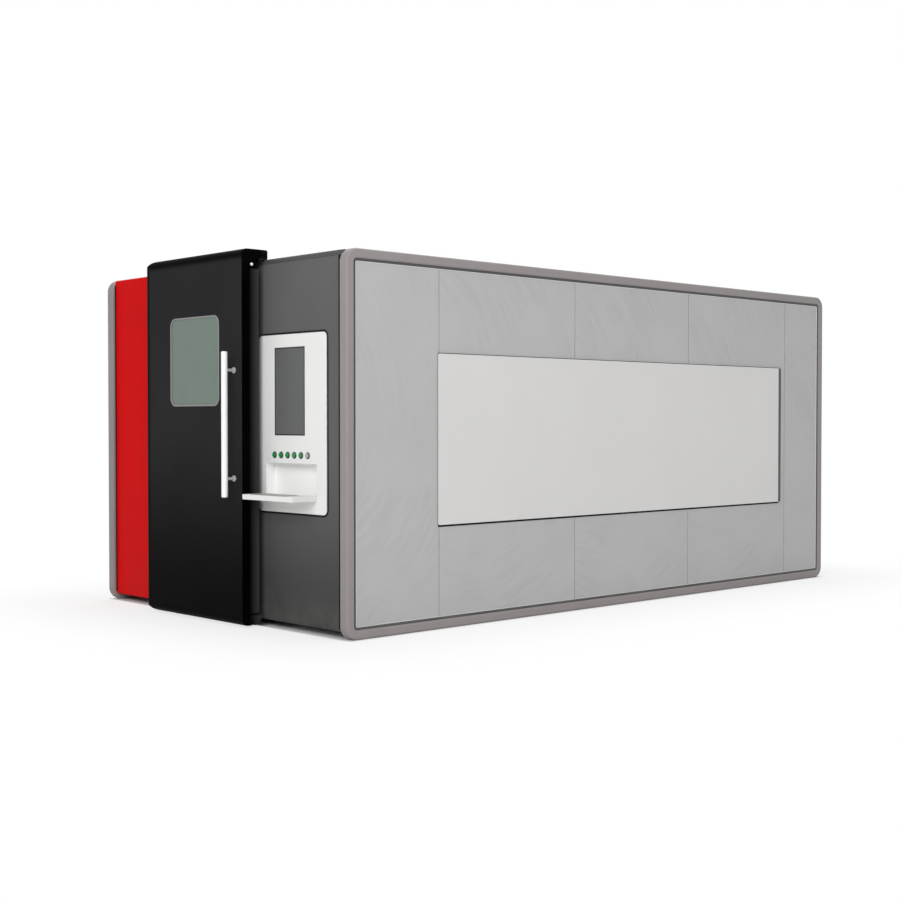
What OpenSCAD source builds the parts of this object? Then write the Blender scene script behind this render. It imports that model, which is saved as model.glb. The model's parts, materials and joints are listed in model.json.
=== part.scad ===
// Enclosed fibre laser cutting machine with a sliding service door and a rack driven gantry.
// Millimetres, +Z up. +X runs from the door end to the loading end, the white-panelled side
// seen from the door's right faces -Y. The origin is the middle of the footprint, on the floor.

/* [Enclosure] */
// Length over the two side frames
body_l = 4820; // [4600:10:5600]
// Width over the two side frames
body_w = 2620; // [2560:10:3100]
// Height of the side frames
body_h = 2200; // [2180:10:2600]

/* [Side frames] */
// Width of a frame limb, seen from the side
frame_face = 57; // [50:1:75]
// Depth of a frame limb, across the machine
frame_depth = 71; // [64:1:95]
// Outer radius of the frame's corners
frame_r = 80; // [78:1:120]
// Rounding along the limb's edges
frame_edge_r = 14; // [6:1:20]

/* [Side panels] */
// Thickness of a grey side panel
panel_t = 25; // [18:1:30]
// How far a panel's face lies behind the frame's face
panel_set = 14; // [14:1:20]
// Shadow gap between frame and panels
panel_gap = 6; // [3:1:10]
// Seam between two panels
seam = 4; // [2:1:8]
// Distance from the frame's front edge to the first seam
first_seam = 710; // [560:1:760]
// Pitch of the three middle panels
middle_pitch = 1200; // [1000:1:1300]
// Width of the posts behind the seams
post_w = 60; // [40:1:80]
// Distance from the frame's front edge to the white cover panel
cover_start = 698; // [600:1:800]
// Length of the white cover panel
cover_l = 3535; // [2800:1:3600]
// Height of the cover panel's lower edge
cover_z = 617; // [500:1:700]
// Height of the cover panel
cover_h = 1013; // [800:1:1200]
// Thickness of the cover panel's face sheet
cover_t = 10; // [5:0.5:10]
// Depth of the shadow gap behind the cover panel's rim
cover_gap = 4; // [2:0.5:4]
// Width of the cover panel's undercut rim
cover_rim = 16; // [8:1:40]
// Corner radius of the cover panel
cover_r = 8; // [3:1:20]

/* [End walls] */
// Thickness of an end wall
wall_t = 40; // [30:1:50]
// How far an end wall lies behind the frame's edge
wall_set = 25; // [18:1:30]
// Gap between floor and end walls
wall_lift = 40; // [20:1:60]
// How far an end wall's top lies below the frame's top
wall_drop = 5; // [2:1:20]
// Rounding of the end walls' top and bottom edges
wall_edge_r = 16; // [6:1:20]
// Thickness of the roof panels
roof_t = 20; // [12:1:24]
// Distance from the right side to the doorway
doorway_start = 870; // [850:1:900]
// Clear width of the doorway
doorway_w = 625; // [560:1:640]
// Height of the doorway's sill
doorway_sill = 120; // [100:1:160]
// Height of the doorway's lintel
doorway_top = 2050; // [1900:1:2080]
// Width of the doorway's posts
jamb_w = 50; // [40:1:60]
// Clear width of the loading opening in the rear wall
load_w = 1700; // [1600:10:1800]
// Height of the loading opening's lower edge
load_z = 700; // [680:1:740]
// Height of the loading opening
load_h = 440; // [380:1:460]

/* [Sliding door] */
// Distance from the right side to the door's edge
door_start = 805; // [790:1:830]
// Width of the door leaf
door_w = 1080; // [1000:1:1100]
// Thickness of the door leaf
door_t = 57; // [45:1:65]
// How far the leaf's face stands in front of the frames
door_out = 146; // [130:1:160]
// Gap between floor and leaf
door_lift = 14; // [12:1:20]
// How far the door's top stands above the frames
door_rise = 52; // [46:1:60]
// Radius of the leaf's outer corners
door_corner_r = 105; // [20:1:120]
// Rounding of the leaf's face along top, bottom and far edge
door_edge_r = 42; // [10:1:44]
// Depth of the hood behind the frame's front edge
hood_back = 44; // [36:1:52]
// Depth of the rail along the leaf's lower edge
foot_rail_t = 44; // [36:1:50]
// Height of the rail along the leaf's lower edge
foot_rail_h = 56; // [48:1:90]
// How far the foot rail's upper lip reaches on towards the wall
foot_lip = 46; // [20:1:48]
// Distance from the right side to the window
window_start = 1045; // [1010:1:1100]
// Width of the window's glass
window_w = 525; // [400:1:600]
// Height of the window's lower edge
window_z = 1330; // [1200:1:1400]
// Height of the window's glass
window_h = 534; // [400:1:600]
// Corner radius of the window
window_r = 45; // [30:1:80]
// Thickness of the window's glass
window_t = 10; // [6:1:14]
// Width of the seal around the glass
seal_w = 9; // [6:1:14]
// Depth of the seal around the glass
seal_t = 22; // [16:1:30]

/* [Door handle] */
// Diameter of the bar
handle_d = 38; // [30:1:45]
// Distance from the right side to the bar
handle_start = 880; // [870:1:900]
// Distance from the leaf's face to the bar's axis
handle_out = 70; // [60:1:90]
// Height of the bar's lower end
handle_z = 780; // [700:1:850]
// Length of the bar
handle_l = 863; // [700:1:1000]
// Distance from the bar's ends to its posts
handle_inset = 110; // [60:1:180]
// Diameter of the posts
handle_post_d = 18; // [14:1:24]

/* [Door hanger] */
// Radius on which a hanger roller runs
roller_r = 24; // [20:0.5:26]
// Depth of a roller's flanges below its running face
roller_flange = 5; // [3:0.5:6]
// Width of a roller
roller_w = 28; // [24:1:34]
// Radius of a roller's axle
axle_r = 6; // [5:0.5:8]
// Height of the rail on the roof
rail_h = 20; // [18:1:24]
// Width of the rail's running edge
rail_w = 10; // [8:0.5:12]
// Distance from the frame's front edge to the rail
rail_start = 112; // [108:1:120]
// Travel of the door
door_travel = 690; // [600:10:690]

/* [Console] */
// Distance from the right side to the console
console_start = 202; // [190:1:210]
// Width of the console
console_w = 652; // [640:1:660]
// Height of the console's lower edge
console_z = 695; // [680:1:710]
// Height of the console
console_h = 1045; // [1030:1:1100]
// How far the console's flange stands out of the wall
console_out = 10; // [6:1:14]
// Depth of the console's body in the wall
console_in = 35; // [30:1:38]
// Width of the flange round the console's body
console_lip = 20; // [15:1:24]
// Corner radius of the console
console_r = 30; // [10:1:40]
// Distance from the right side to the screen
screen_start = 404; // [380:1:420]
// Width of the screen
screen_w = 291; // [240:1:300]
// Height of the screen's lower edge
screen_z = 1147; // [1100:1:1160]
// Height of the screen
screen_h = 517; // [450:1:560]
// Thickness of the screen's glass
screen_t = 8; // [5:1:12]
// Distance from the right side to the last push button
button_start = 376; // [360:1:400]
// Pitch of the push buttons
button_pitch = 64; // [58:1:66]
// Height of the push buttons
button_z = 1032; // [1020:1:1060]
// Radius of a push button's cap
button_r = 15; // [12:0.5:21]
// Travel of a push button
button_travel = 3.5; // [2:0.5:4]
// Distance from the right side to the keyboard recess
niche_start = 294; // [285:1:300]
// Width of the keyboard recess
niche_w = 494; // [440:1:500]
// Height of the keyboard recess
niche_h = 214; // [180:1:216]
// Depth of the keyboard recess
niche_d = 70; // [60:1:72]
// Height of the tray's hinge
tray_axis_z = 786; // [770:1:790]
// Thickness of the keyboard tray
tray_t = 30; // [24:1:36]

/* [Bed and table] */
// Travel of the gantry along the machine
gantry_travel = 3000; // [2600:10:3000]
// Travel of the carriage across the machine
carriage_travel = 1500; // [1200:10:1560]
// Travel of the cutting head
head_travel = 90; // [60:1:94]
// Distance from the frame's front edge to the bed
bed_start = 600; // [590:1:640]
// Length of the bed
bed_l = 3820; // [3780:10:3850]
// Clear width between the bed's side beams
bed_gap = 1640; // [1600:10:1680]
// Width of a side beam
bed_beam_w = 160; // [140:1:180]
// Height of the bed's top
bed_top = 760; // [740:1:800]
// Height of the base crossbars' top
base_top = 90; // [75:1:110]
// Height of the levelling feet
foot_h = 30; // [24:1:40]
// Pitch of the support slats
slat_pitch = 100; // [80:5:150]
// Thickness of a support slat
slat_t = 5; // [3:0.5:8]
// Height of a support slat
slat_h = 90; // [70:1:110]
// Pitch of a slat's points
slat_tooth = 60; // [40:1:100]

/* [Drives] */
// Module of the racks and pinions
gear_module = 4; // [3:0.5:5]
// Teeth of a pinion
pinion_teeth = 20; // [18:1:24]
// Face width of racks and pinions
gear_face = 30; // [20:1:36]
// Height of a rack from its seat to the tips
rack_h = 25; // [20:1:30]
// Backlash between rack and pinion
backlash = 0.5; // [0.3:0.05:0.8]
// Width of a linear rail
guide_w = 30; // [24:1:36]
// Height of a linear rail
guide_h = 30; // [24:1:34]
// Depth of the gantry beam, along the machine
beam_d = 180; // [150:1:220]
// Height of the gantry beam
beam_h = 220; // [180:1:240]

/* [Hidden] */
$fn = 64;

// Overrun of every cut past the face that it breaks through
cut = 1;
// Clearance of a running shaft in its bore
run_fit = 0.05;
// Clearance of a sliding face
slide_fit = 0.3;
// Clearance of a button in its guide
button_fit = 0.4;

// Sheet, plate and small fitting sizes
sheet_t = 4;
plate_t = 12;
door_slack = 3;

// Places along and across the machine
rear_spigot_l = 120;
front_reach = door_out + handle_out + handle_d / 2;
rear_reach = rear_spigot_l - wall_set;
x_front = (front_reach - body_l - rear_reach) / 2;
x_rear = x_front + body_l;
x_mid = x_front + body_l / 2;
y_right = -body_w / 2;
y_left = body_w / 2;
y_in = body_w / 2 - frame_depth;
wall_x = x_front + wall_set;
wall_back = wall_x + wall_t;
rear_wall_x = x_rear - wall_set - wall_t;
wall_top = body_h - wall_drop;
limb_top = body_h - frame_face;
seams = [for (i = [0:3]) x_front + first_seam + i * middle_pitch];
panel_edges = concat(
  [x_front + frame_face + panel_gap - seam / 2],
  seams,
  [x_rear - frame_face - panel_gap + seam / 2]
);
panel_back = panel_set + panel_t;

// Doorway and door
doorway_y = y_right + doorway_start;
door_y = y_right + door_start;
leaf_x = x_front - door_out;
leaf_back = leaf_x + door_t;
door_top = body_h + door_rise;
leaf_h = door_top - door_lift;
hood_z = wall_top + 2 * door_slack;
window_y = y_right + window_start;
handle_y = y_right + handle_start;
handle_x = leaf_x - handle_out;
rail_x = x_front + rail_start;
rail_top = limb_top + roof_t + rail_h;
rail_foot = 40;
roller_z = rail_top + roller_r + slide_fit;
arm_half = 45;
arm_plate = 12;
arm_cheek = 10;
arm_y_shares = [0.24, 0.84];
arm_y = [for (s = arm_y_shares) door_y + s * door_w];
roller_x = rail_x - roller_w / 2;
fin_t = 8;
lip_share = 0.7;
guide_half = 60;
guide_y_shares = [0.72, 0.92];

// Console
console_x = wall_x - console_out;
console_y = y_right + console_start;
niche_y = y_right + niche_start;
niche_z = tray_axis_z - tray_t / 2 - 1.5 * slide_fit;
niche_wall = 8;
tray_axis_x = console_x + tray_t / 2 + 2 * slide_fit + sheet_t;
tray_reach = niche_h - tray_t / 2 - 3 * door_slack;
tray_pin_r = 4;
tray_lip = 6;
tray_well = 10;
collar_w = 4.5;
collar_out = 5;
button_out = 10;
button_stem = 12;
screen_y = y_right + screen_start;

// Bed, table and gantry
bed_x = x_front + bed_start;
bed_in = bed_gap / 2;
bed_out = bed_in + bed_beam_w;
guide_share = 0.69;
guide_y = bed_in + guide_share * bed_beam_w;
cross_count = 5;
cross_w = 120;
cross_h = 160;
pocket_count = 7;
rib_t = 30;
ledge_w = 60;
ledge_h = 40;
table_start = 90;
table_x = bed_x + table_start;
table_spare = 50;
table_l = gantry_travel + table_spare;
comb_w = 40;
comb_h = 80;
slat_seat = 45;
slat_count = floor(table_l / slat_pitch);
slat_notch = 25;
table_z = bed_top - slat_h - (comb_h - slat_seat);
tray_count = 3;
slag_h = 140;
beam_rest = 304;
beam_x = bed_x + beam_rest;
beam_mid = beam_x + beam_d / 2;
block_lift = 8;
block_h = 38;
block_l = 90;
block_w = 64;
saddle_l = 400;
saddle_t = 30;
saddle_inset = 70;
saddle_y = guide_y - saddle_inset;
saddle_w = 250;
beam_z = bed_top + block_lift + block_h + saddle_t;
beam_top = beam_z + beam_h;
pitch_r = gear_module * pinion_teeth / 2;
tooth_pitch = PI * gear_module;
dedendum_share = 1.25;
pressure_angle = 20;
rack_root = rack_h - (1 + dedendum_share) * gear_module;
rack_pitch_h = rack_h - gear_module;
rack_drop = 15;
rack_z = bed_top - rack_drop - gear_face;
rack_inset = 20;
rack_start = bed_x + rack_inset;
x_rack_teeth = floor((bed_l - 2 * rack_inset) / tooth_pitch);
pinion_y = bed_out + rack_pitch_h + pitch_r;
shaft_r = 12;
gearbox_d = 92;
beam_end_gap = 10;
beam_half = pinion_y - gearbox_d / 2 - beam_end_gap;
gearbox_h = 80;
motor_w = 90;
motor_l = 130;
shaft_in = 20;

// Carriage and head, in front of the beam
y_guide_w = 24;
y_guide_h = 20;
y_guide_shares = [0.18, 0.82];
y_rail_spare = 10;
y_block_d = 28;
y_block_l = 80;
y_block_w = 56;
y_block_lift = 6;
carriage_t = 25;
carriage_half = 180;
carriage_rise = 124;
carriage_front = beam_x - y_block_lift - y_block_d - carriage_t;
y_pinion_y = 132;
y_rack_teeth = ceil((carriage_travel + 2 * (y_pinion_y + pitch_r)) / tooth_pitch);
y_rack_start = -y_rack_teeth * tooth_pitch / 2;
y_pinion_z = beam_top + rack_pitch_h + pitch_r;
y_rack_inset = 20;
y_rack_x = beam_x + y_rack_inset;
z_box_half = 75;
z_box_d = 70;
z_box_rise = 64;
z_box_z = beam_z + z_box_rise;
z_box_h = 430;
z_motor_h = 120;
z_rib_half = 30;
z_rib_d = 10;
z_slide_t = 30;
z_slide_half = 65;
z_slide_h = 250;
z_face = carriage_front - z_box_d;
slide_drop = 24;
slide_z = z_box_z - slide_drop;
slide_front = z_face - z_slide_t;
head_half = 45;
head_x = slide_front - head_half;
nozzle_gap = 16;
nozzle_h = 18;
nozzle_r = 11;
nozzle_z = bed_top + nozzle_gap + head_travel;
nozzle_shares = [[0.2, 0], [0.4, 0], [1, 0.6], [1, 1], [0.2, 1]];
seat_share = 1.4;
cone_share = 0.6;
neck_share = 0.75;
head_block_share = 0.8;
collimator_shares = [[0, 0], [0.85, 0], [0.85, 0.4], [0.4, 0.45], [0.4, 0.7], [0, 0.7]];

// Rear end
lift_t = 25;
lift_lap = 30;
lift_x = x_rear - wall_set + sheet_t + door_slack;
lift_y = load_w / 2 + lift_lap;
guide_wall = 6;
guide_lap = 22;
guide_stop = 20;
duct_r = 125;
duct_wall = 3;
duct_z = 420;
plenum_l = 240;
plenum_h = 320;
intake_r = 100;
intake_share = 0.8;
cabinet_gap = 34;
cabinet_d = 450;
cabinet_w = 620;
cabinet_h = 1800;
cabinet_door_t = 12;
cabinet_margin = 12;
cabinet_plinth = 60;
louvre_count = 8;
louvre_pitch = 48;
louvre_h = 12;
louvre_shares = [0.25, 0.75];
louvre_base_share = 0.66;
source_w = 600;
source_h = 1250;
source_grip_t = 12;
source_grip_inset = 36;
source_grip_out = 48;
source_grip_shares = [0.6, 0.8];

// Colours of the finishes
c_frame = [0.62, 0.58, 0.58];
c_grey = [0.70, 0.70, 0.70];
c_white = [0.86, 0.86, 0.86];
c_dark = [0.36, 0.36, 0.36];
c_black = [0.10, 0.10, 0.10];
c_red = [0.80, 0.10, 0.11];
c_glass = [0.45, 0.53, 0.47];
c_steel = [0.72, 0.73, 0.74];
c_bed = [0.42, 0.44, 0.46];
c_green = [0.08, 0.45, 0.24];
c_copper = [0.72, 0.45, 0.28];

// A box between two opposite corners
module block(from, to) {
  translate(from) cube(to - from);
}

// Children drawn in Y-Z and grown towards +X
module on_end(x) {
  translate([x, 0, 0]) rotate([90, 0, 90]) children();
}

// Children drawn in X-Z and grown towards -Y
module on_side(y) {
  translate([0, y, 0]) rotate([90, 0, 0]) children();
}

// Rectangle from the origin with round corners
module rounded_rect(w, h, r) {
  translate([r, 0]) square([w - 2 * r, h]);
  translate([0, r]) square([w, h - 2 * r]);
  for (x = [r, w - r], y = [r, h - r])
    translate([x, y]) circle(r);
}

// A profile carried round a rounded rectangle that is centred on the origin.
// The profile's x runs outwards from the corner's centre, and its y along the depth.
module frame_sweep(w, h, r) {
  for (i = [0:3])
    rotate(90 * i) {
      along = i % 2 == 0 ? w : h;
      across = i % 2 == 0 ? h : w;
      translate([along / 2 - r, across / 2 - r, 0]) {
        rotate([90, 0, 0]) linear_extrude(across - 2 * r) children();
        rotate_extrude(angle = 90) children();
      }
    }
}

// Half the thickness of a rack tooth, at a height above the pitch line
function rack_half(height) =
  tooth_pitch / 4 - backlash / 4 - height * tan(pressure_angle);

// Outline of a rack with its seat on y = 0 and its teeth along +x
function rack_outline(count) = concat(
  [[0, 0], [0, rack_root]],
  [
    for (i = [0:count - 1], k = [[-1, -dedendum_share], [-1, 1], [1, 1], [1, -dedendum_share]])
      let (rise = k[1] * gear_module)
        [(i + 0.5) * tooth_pitch + k[0] * rack_half(rise), rack_pitch_h + rise]
  ],
  [[count * tooth_pitch, rack_root], [count * tooth_pitch, 0]]
);

function involute(angle) = tan(angle) * 180 / PI - angle;

// Half the angle of a pinion tooth at a radius outside the base circle
function tooth_half(radius) =
  90 / pinion_teeth - backlash / 4 / pitch_r * 180 / PI
  + involute(pressure_angle) - involute(acos(pitch_r * cos(pressure_angle) / radius));

// Outline of a pinion with the middle of a tooth gap on +x
flank_steps = 4;
involute_lead = 0.01;
function pinion_outline() =
  let (
    base = pitch_r * cos(pressure_angle) + involute_lead,
    root = pitch_r - dedendum_share * gear_module,
    tip = pitch_r + gear_module,
    rise = [for (k = [0:flank_steps]) base + (tip - base) * k / flank_steps],
    side = concat([[root, tooth_half(base)]], [for (r = rise) [r, tooth_half(r)]])
  )
  [
    for (i = [0:pinion_teeth - 1], s = [-1, 1], k = [0:len(side) - 1])
      let (
        point = side[s < 0 ? k : len(side) - 1 - k],
        turn = (i + 0.5) * 360 / pinion_teeth + s * point[1]
      )
        point[0] * [cos(turn), sin(turn)]
  ];

// How far a pinion is turned so that its gap faces the rack tooth beside it
function mesh_turn(along, start) = ((along - start) / tooth_pitch - 0.5) * 360 / pinion_teeth;

// Pinion with a six-sided seat, along +Z from its lower face
module pinion() {
  linear_extrude(gear_face) difference() {
    polygon(pinion_outline());
    circle(shaft_r + run_fit, $fn = 6);
  }
}

// Drive shaft along +Z, six-sided where it carries the pinion
module drive_shaft(length) {
  seat = gear_face + slide_fit;
  cylinder(r = shaft_r, h = seat, $fn = 6);
  translate([0, 0, seat]) cylinder(r = shaft_r, h = length - slide_fit);
}

// Servo motor with its gearbox, upwards from the gearbox's seat
module servo(length) {
  difference() {
    cylinder(d = gearbox_d, h = gearbox_h);
    translate([0, 0, -cut]) cylinder(r = shaft_r + run_fit, h = shaft_in + cut);
  }
  translate([-motor_w / 2, -motor_w / 2, gearbox_h])
    linear_extrude(length) rounded_rect(motor_w, motor_w, motor_w / 8);
  translate([-motor_w / 4, motor_w / 2, gearbox_h + length / 2])
    cube([motor_w / 2, motor_w / 4, length / 3]);
}

// Guide carriage that straddles a rail, along X, with its seat face up
module guide_block(length, width, lift, height, rail_width, rail_height) {
  on_end(-length / 2) linear_extrude(length) difference() {
    translate([-width / 2, lift]) square([width, height]);
    translate([-rail_width / 2 - slide_fit, 0])
      square([rail_width + 2 * slide_fit, rail_height + slide_fit]);
  }
}

// Linear rail along X with its two side grooves
rail_outline_shares = [
  [-0.5, 0], [-0.5, 0.4], [-0.4, 0.55], [-0.4, 0.7], [-0.5, 0.8], [-0.5, 1],
  [0.5, 1], [0.5, 0.8], [0.4, 0.7], [0.4, 0.55], [0.5, 0.4], [0.5, 0]
];
module guide_rail(length, width, height) {
  rotate([90, 0, 90]) linear_extrude(length)
    polygon([for (s = rail_outline_shares) [s[0] * width, s[1] * height]]);
}

// Closed frame with round corners round a whole long side
module side_frame(y) {
  color(c_frame)
    on_side(y) translate([x_mid, body_h / 2, 0]) frame_sweep(body_l, body_h, frame_r)
      translate([frame_r - frame_face, 0])
        rounded_rect(frame_face, frame_depth, frame_edge_r);
}

module right_side_frame() {
  side_frame(y_right + frame_depth);
}

module left_side_frame() {
  side_frame(y_left);
}

// Grey panels that fill a side frame, with seams between them
module side_panels(y) {
  inset = frame_face + panel_gap;
  color(c_grey)
    for (i = [0:len(panel_edges) - 2])
      on_side(y) linear_extrude(panel_t) intersection() {
        translate([x_front + inset, inset])
          rounded_rect(body_l - 2 * inset, body_h - 2 * inset, frame_r - inset);
        translate([panel_edges[i] + seam / 2, 0])
          square([panel_edges[i + 1] - panel_edges[i] - seam, body_h]);
      }
}

module right_panels() {
  side_panels(y_right + panel_back);
}

module left_panels() {
  side_panels(y_left - panel_set);
}

// White cover panel with an undercut rim, growing towards -Y from its seat
module cover_panel() {
  translate([x_front + cover_start, 0, cover_z]) {
    on_side(0) translate([cover_rim, cover_rim]) linear_extrude(cover_gap)
      square([cover_l - 2 * cover_rim, cover_h - 2 * cover_rim]);
    on_side(-cover_gap) linear_extrude(cover_t) rounded_rect(cover_l, cover_h, cover_r);
  }
}

module cover_panels() {
  color(c_white) {
    translate([0, y_right + panel_set, 0]) cover_panel();
    mirror([0, 1, 0]) translate([0, -y_left + panel_set, 0]) cover_panel();
  }
}

// Posts behind the seams, roof beams between them and crossbars on the floor
module inner_frame() {
  color(c_dark)
    for (x = seams) {
      for (side = [-1, 1])
        block(
          [x - post_w / 2, min(side * y_in, side * (y_left - panel_back)), frame_face],
          [x + post_w / 2, max(side * y_in, side * (y_left - panel_back)), limb_top]
        );
      block([x - post_w / 2, -y_in, limb_top - post_w], [x + post_w / 2, y_in, limb_top]);
      block([x - post_w, -y_in, foot_h], [x + post_w, y_in, base_top]);
    }
}

// Three roof panels with turned-up seams on the roof beams
module roof_panels() {
  ends = [wall_back + slide_fit - seam / 2, seams[1], seams[2], rear_wall_x - slide_fit + seam / 2];
  color(c_grey)
    for (i = [0:2]) {
      block(
        [ends[i] + seam / 2, -y_in, limb_top],
        [ends[i + 1] - seam / 2, y_in, limb_top + roof_t]
      );
      if (i > 0)
        block(
          [ends[i] + seam / 2, -y_in, limb_top + roof_t],
          [ends[i] + seam / 2 + sheet_t, y_in, limb_top + roof_t + plate_t]
        );
    }
}

// End wall between two places across the machine, with rounded top and bottom edges
module end_wall(from, to) {
  on_side(to) linear_extrude(to - from) intersection() {
    translate([wall_x, wall_lift])
      rounded_rect(wall_t + wall_edge_r, wall_top - wall_lift, wall_edge_r);
    translate([wall_x, 0]) square([wall_t, body_h]);
  }
}

module console_wall() {
  color(c_dark) difference() {
    end_wall(-y_in, doorway_y);
    block(
      [wall_x - cut, console_y + console_lip - slide_fit, console_z + console_lip - slide_fit],
      [wall_back + cut, console_y + console_w - console_lip + slide_fit,
       console_z + console_h - console_lip + slide_fit]
    );
  }
}

module red_wall() {
  color(c_red) end_wall(doorway_y + doorway_w, y_in);
}

// Lintel, sill and the two posts of the doorway
module door_frame() {
  color(c_dark) {
    intersection() {
      end_wall(doorway_y, doorway_y + doorway_w);
      block([wall_x, doorway_y, doorway_top], [wall_back, doorway_y + doorway_w, wall_top]);
    }
    intersection() {
      end_wall(doorway_y, doorway_y + doorway_w);
      block([wall_x, doorway_y, wall_lift], [wall_back, doorway_y + doorway_w, doorway_sill]);
    }
    for (y = [doorway_y - jamb_w, doorway_y + doorway_w])
      block([wall_back, y, wall_lift], [wall_back + jamb_w, y + jamb_w, limb_top]);
  }
}

// Rear wall in four panels with narrow joints, round the loading opening
module rear_wall() {
  half = load_w / 2;
  mid = half - slide_fit;
  color(c_dark) mirror([1, 0, 0]) translate([-x_rear - x_front, 0, 0]) {
    end_wall(-y_in, -half);
    end_wall(half, y_in);
    intersection() {
      end_wall(-mid, mid);
      block([wall_x, -half, load_z + load_h], [wall_back, half, body_h]);
    }
    difference() {
      intersection() {
        end_wall(-mid, mid);
        block([wall_x, -half, 0], [wall_back, half, load_z]);
      }
      on_end(wall_x - cut) translate([0, duct_z, 0])
        cylinder(r = duct_r + slide_fit, h = wall_t + 2 * cut);
    }
  }
}

// Channels in which the loading door slides
module lift_guides() {
  slot = lift_t + 2 * door_slack;
  depth = sheet_t + slot + guide_wall;
  z = load_z - lift_lap - guide_stop;
  outer = lift_y + door_slack + guide_wall;
  color(c_steel)
    for (side = [0, 1])
      mirror([0, side, 0]) translate([x_rear - wall_set, 0, z]) difference() {
        block([0, lift_y - guide_lap, 0], [depth, outer, 2 * load_h + 3 * lift_lap]);
        block(
          [sheet_t, lift_y - guide_lap - cut, guide_stop],
          [sheet_t + slot, lift_y + door_slack, body_h]
        );
      }
}

// Levelling feet under the crossbars
foot_pad_r = 60;
foot_shares = [[0, 0], [1, 0], [1, 0.25], [0.45, 0.5], [0.3, 0.5], [0.3, 1], [0, 1]];
module levelling_feet() {
  color(c_steel)
    for (x = [seams[0], seams[1], seams[2], seams[3]], y = [-bed_in, bed_in])
      translate([x, y, 0]) rotate_extrude()
        polygon([for (s = foot_shares) [s[0] * foot_pad_r, s[1] * foot_h]]);
}

// Rail on the roof on which the sliding door hangs
module door_rail() {
  from = arm_y[0] - 2 * arm_half;
  to = arm_y[1] + door_travel + 1.5 * arm_half;
  z = limb_top + roof_t;
  color(c_steel) on_side(to) linear_extrude(to - from) {
    translate([rail_x - rail_foot / 2, z]) square([rail_foot, sheet_t]);
    translate([rail_x - rail_w / 2, z]) square([rail_w, rail_h]);
  }
}

// Brackets under the door with a fin in the groove of its lower rail
module floor_guides() {
  fin_x = leaf_back + foot_rail_t / 2;
  color(c_steel)
    for (s = guide_y_shares)
      translate([0, door_y + s * door_w - guide_half, 0]) {
        block([wall_x - plate_t, 0, sheet_t], [wall_x, 2 * guide_half, 2 * wall_lift]);
        block([fin_x - fin_t, 0, sheet_t], [wall_x - plate_t, 2 * guide_half, 2 * sheet_t]);
        block(
          [fin_x - fin_t / 2, 0, 2 * sheet_t],
          [fin_x + fin_t / 2, 2 * guide_half, door_lift + foot_rail_h / 3]
        );
      }
}

// White console: flange on the wall, body through it, screen bed, button guides, keyboard recess
module console_housing() {
  color(c_white) difference() {
    union() {
      on_end(console_x) translate([console_y, console_z, 0])
        linear_extrude(console_out) rounded_rect(console_w, console_h, console_r);
      block(
        [wall_x, console_y + console_lip, console_z + console_lip],
        [wall_x + console_in, console_y + console_w - console_lip, console_z + console_h - console_lip]
      );
      block(
        [wall_x + console_in, niche_y - niche_wall, niche_z - niche_wall],
        [console_x + niche_d + niche_wall, niche_y + niche_w + niche_wall,
         niche_z + niche_h + niche_wall]
      );
    }
    block(
      [console_x - cut, niche_y, niche_z],
      [console_x + niche_d, niche_y + niche_w, niche_z + niche_h]
    );
    block(
      [console_x - cut, screen_y, screen_z],
      [console_x + screen_t, screen_y + screen_w, screen_z + screen_h]
    );
    for (i = [1:6])
      at_button(i) translate([0, 0, -cut])
        cylinder(r = button_r + button_fit, h = cut + button_stem + button_travel + sheet_t);
    on_side(niche_y + niche_w + niche_wall / 2) translate([tray_axis_x, tray_axis_z, 0])
      cylinder(r = tray_pin_r + run_fit, h = niche_w + niche_wall);
  }
}

module console_screen() {
  color(c_dark) on_end(console_x)
    translate([screen_y + slide_fit, screen_z + slide_fit, 0])
      linear_extrude(screen_t) square([screen_w - 2 * slide_fit, screen_h - 2 * slide_fit]);
}

// The place of a push button on the console's face, growing inwards
module at_button(i) {
  on_end(console_x)
    translate([y_right + button_start + (6 - i) * button_pitch, button_z, 0]) children();
}

// Raised rings round the push buttons
module button_collars() {
  inner = button_r + button_fit;
  color(c_steel)
    for (i = [1:6])
      at_button(i) mirror([0, 0, 1]) rotate_extrude() polygon([
        [inner, 0], [inner + collar_w, 0], [inner + collar_w, collar_out / 2],
        [inner + collar_w / 2, collar_out], [inner, collar_out]
      ]);
}

// Domed cap and stem of a push button
brim_share = 0.8;
crown_share = 0.88;
module push_button(i) {
  color(i < 6 ? c_green : c_grey) at_button(i) rotate_extrude() polygon([
    [0, button_stem], [button_r, button_stem], [button_r, -button_out * brim_share],
    [button_r * crown_share, -button_out], [0, -button_out]
  ]);
}

module tray_hinge_pin() {
  color(c_steel) on_side(niche_y + niche_w + niche_wall / 2)
    translate([tray_axis_x, tray_axis_z, 0]) cylinder(r = tray_pin_r, h = niche_w + niche_wall);
}

// Keyboard tray with a raised lip and a shallow well, folded down at rest
module keyboard_tray() {
  w = niche_w - 2 * door_slack;
  y = niche_y + door_slack;
  far = tray_axis_x - tray_reach;
  top = tray_axis_z + tray_t / 2;
  color(c_white) difference() {
    union() {
      block([far, y, tray_axis_z - tray_t / 2], [tray_axis_x, y + w, top]);
      on_side(y + w) translate([tray_axis_x, tray_axis_z, 0])
        cylinder(d = tray_t, h = w);
    }
    block(
      [far + tray_lip, y + tray_lip, top - tray_well],
      [tray_axis_x - tray_t / 2 - tray_lip, y + w - tray_lip, top + cut]
    );
    on_side(y + w + cut) translate([tray_axis_x, tray_axis_z, 0])
      cylinder(r = tray_pin_r + run_fit, h = w + 2 * cut);
  }
}

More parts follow.
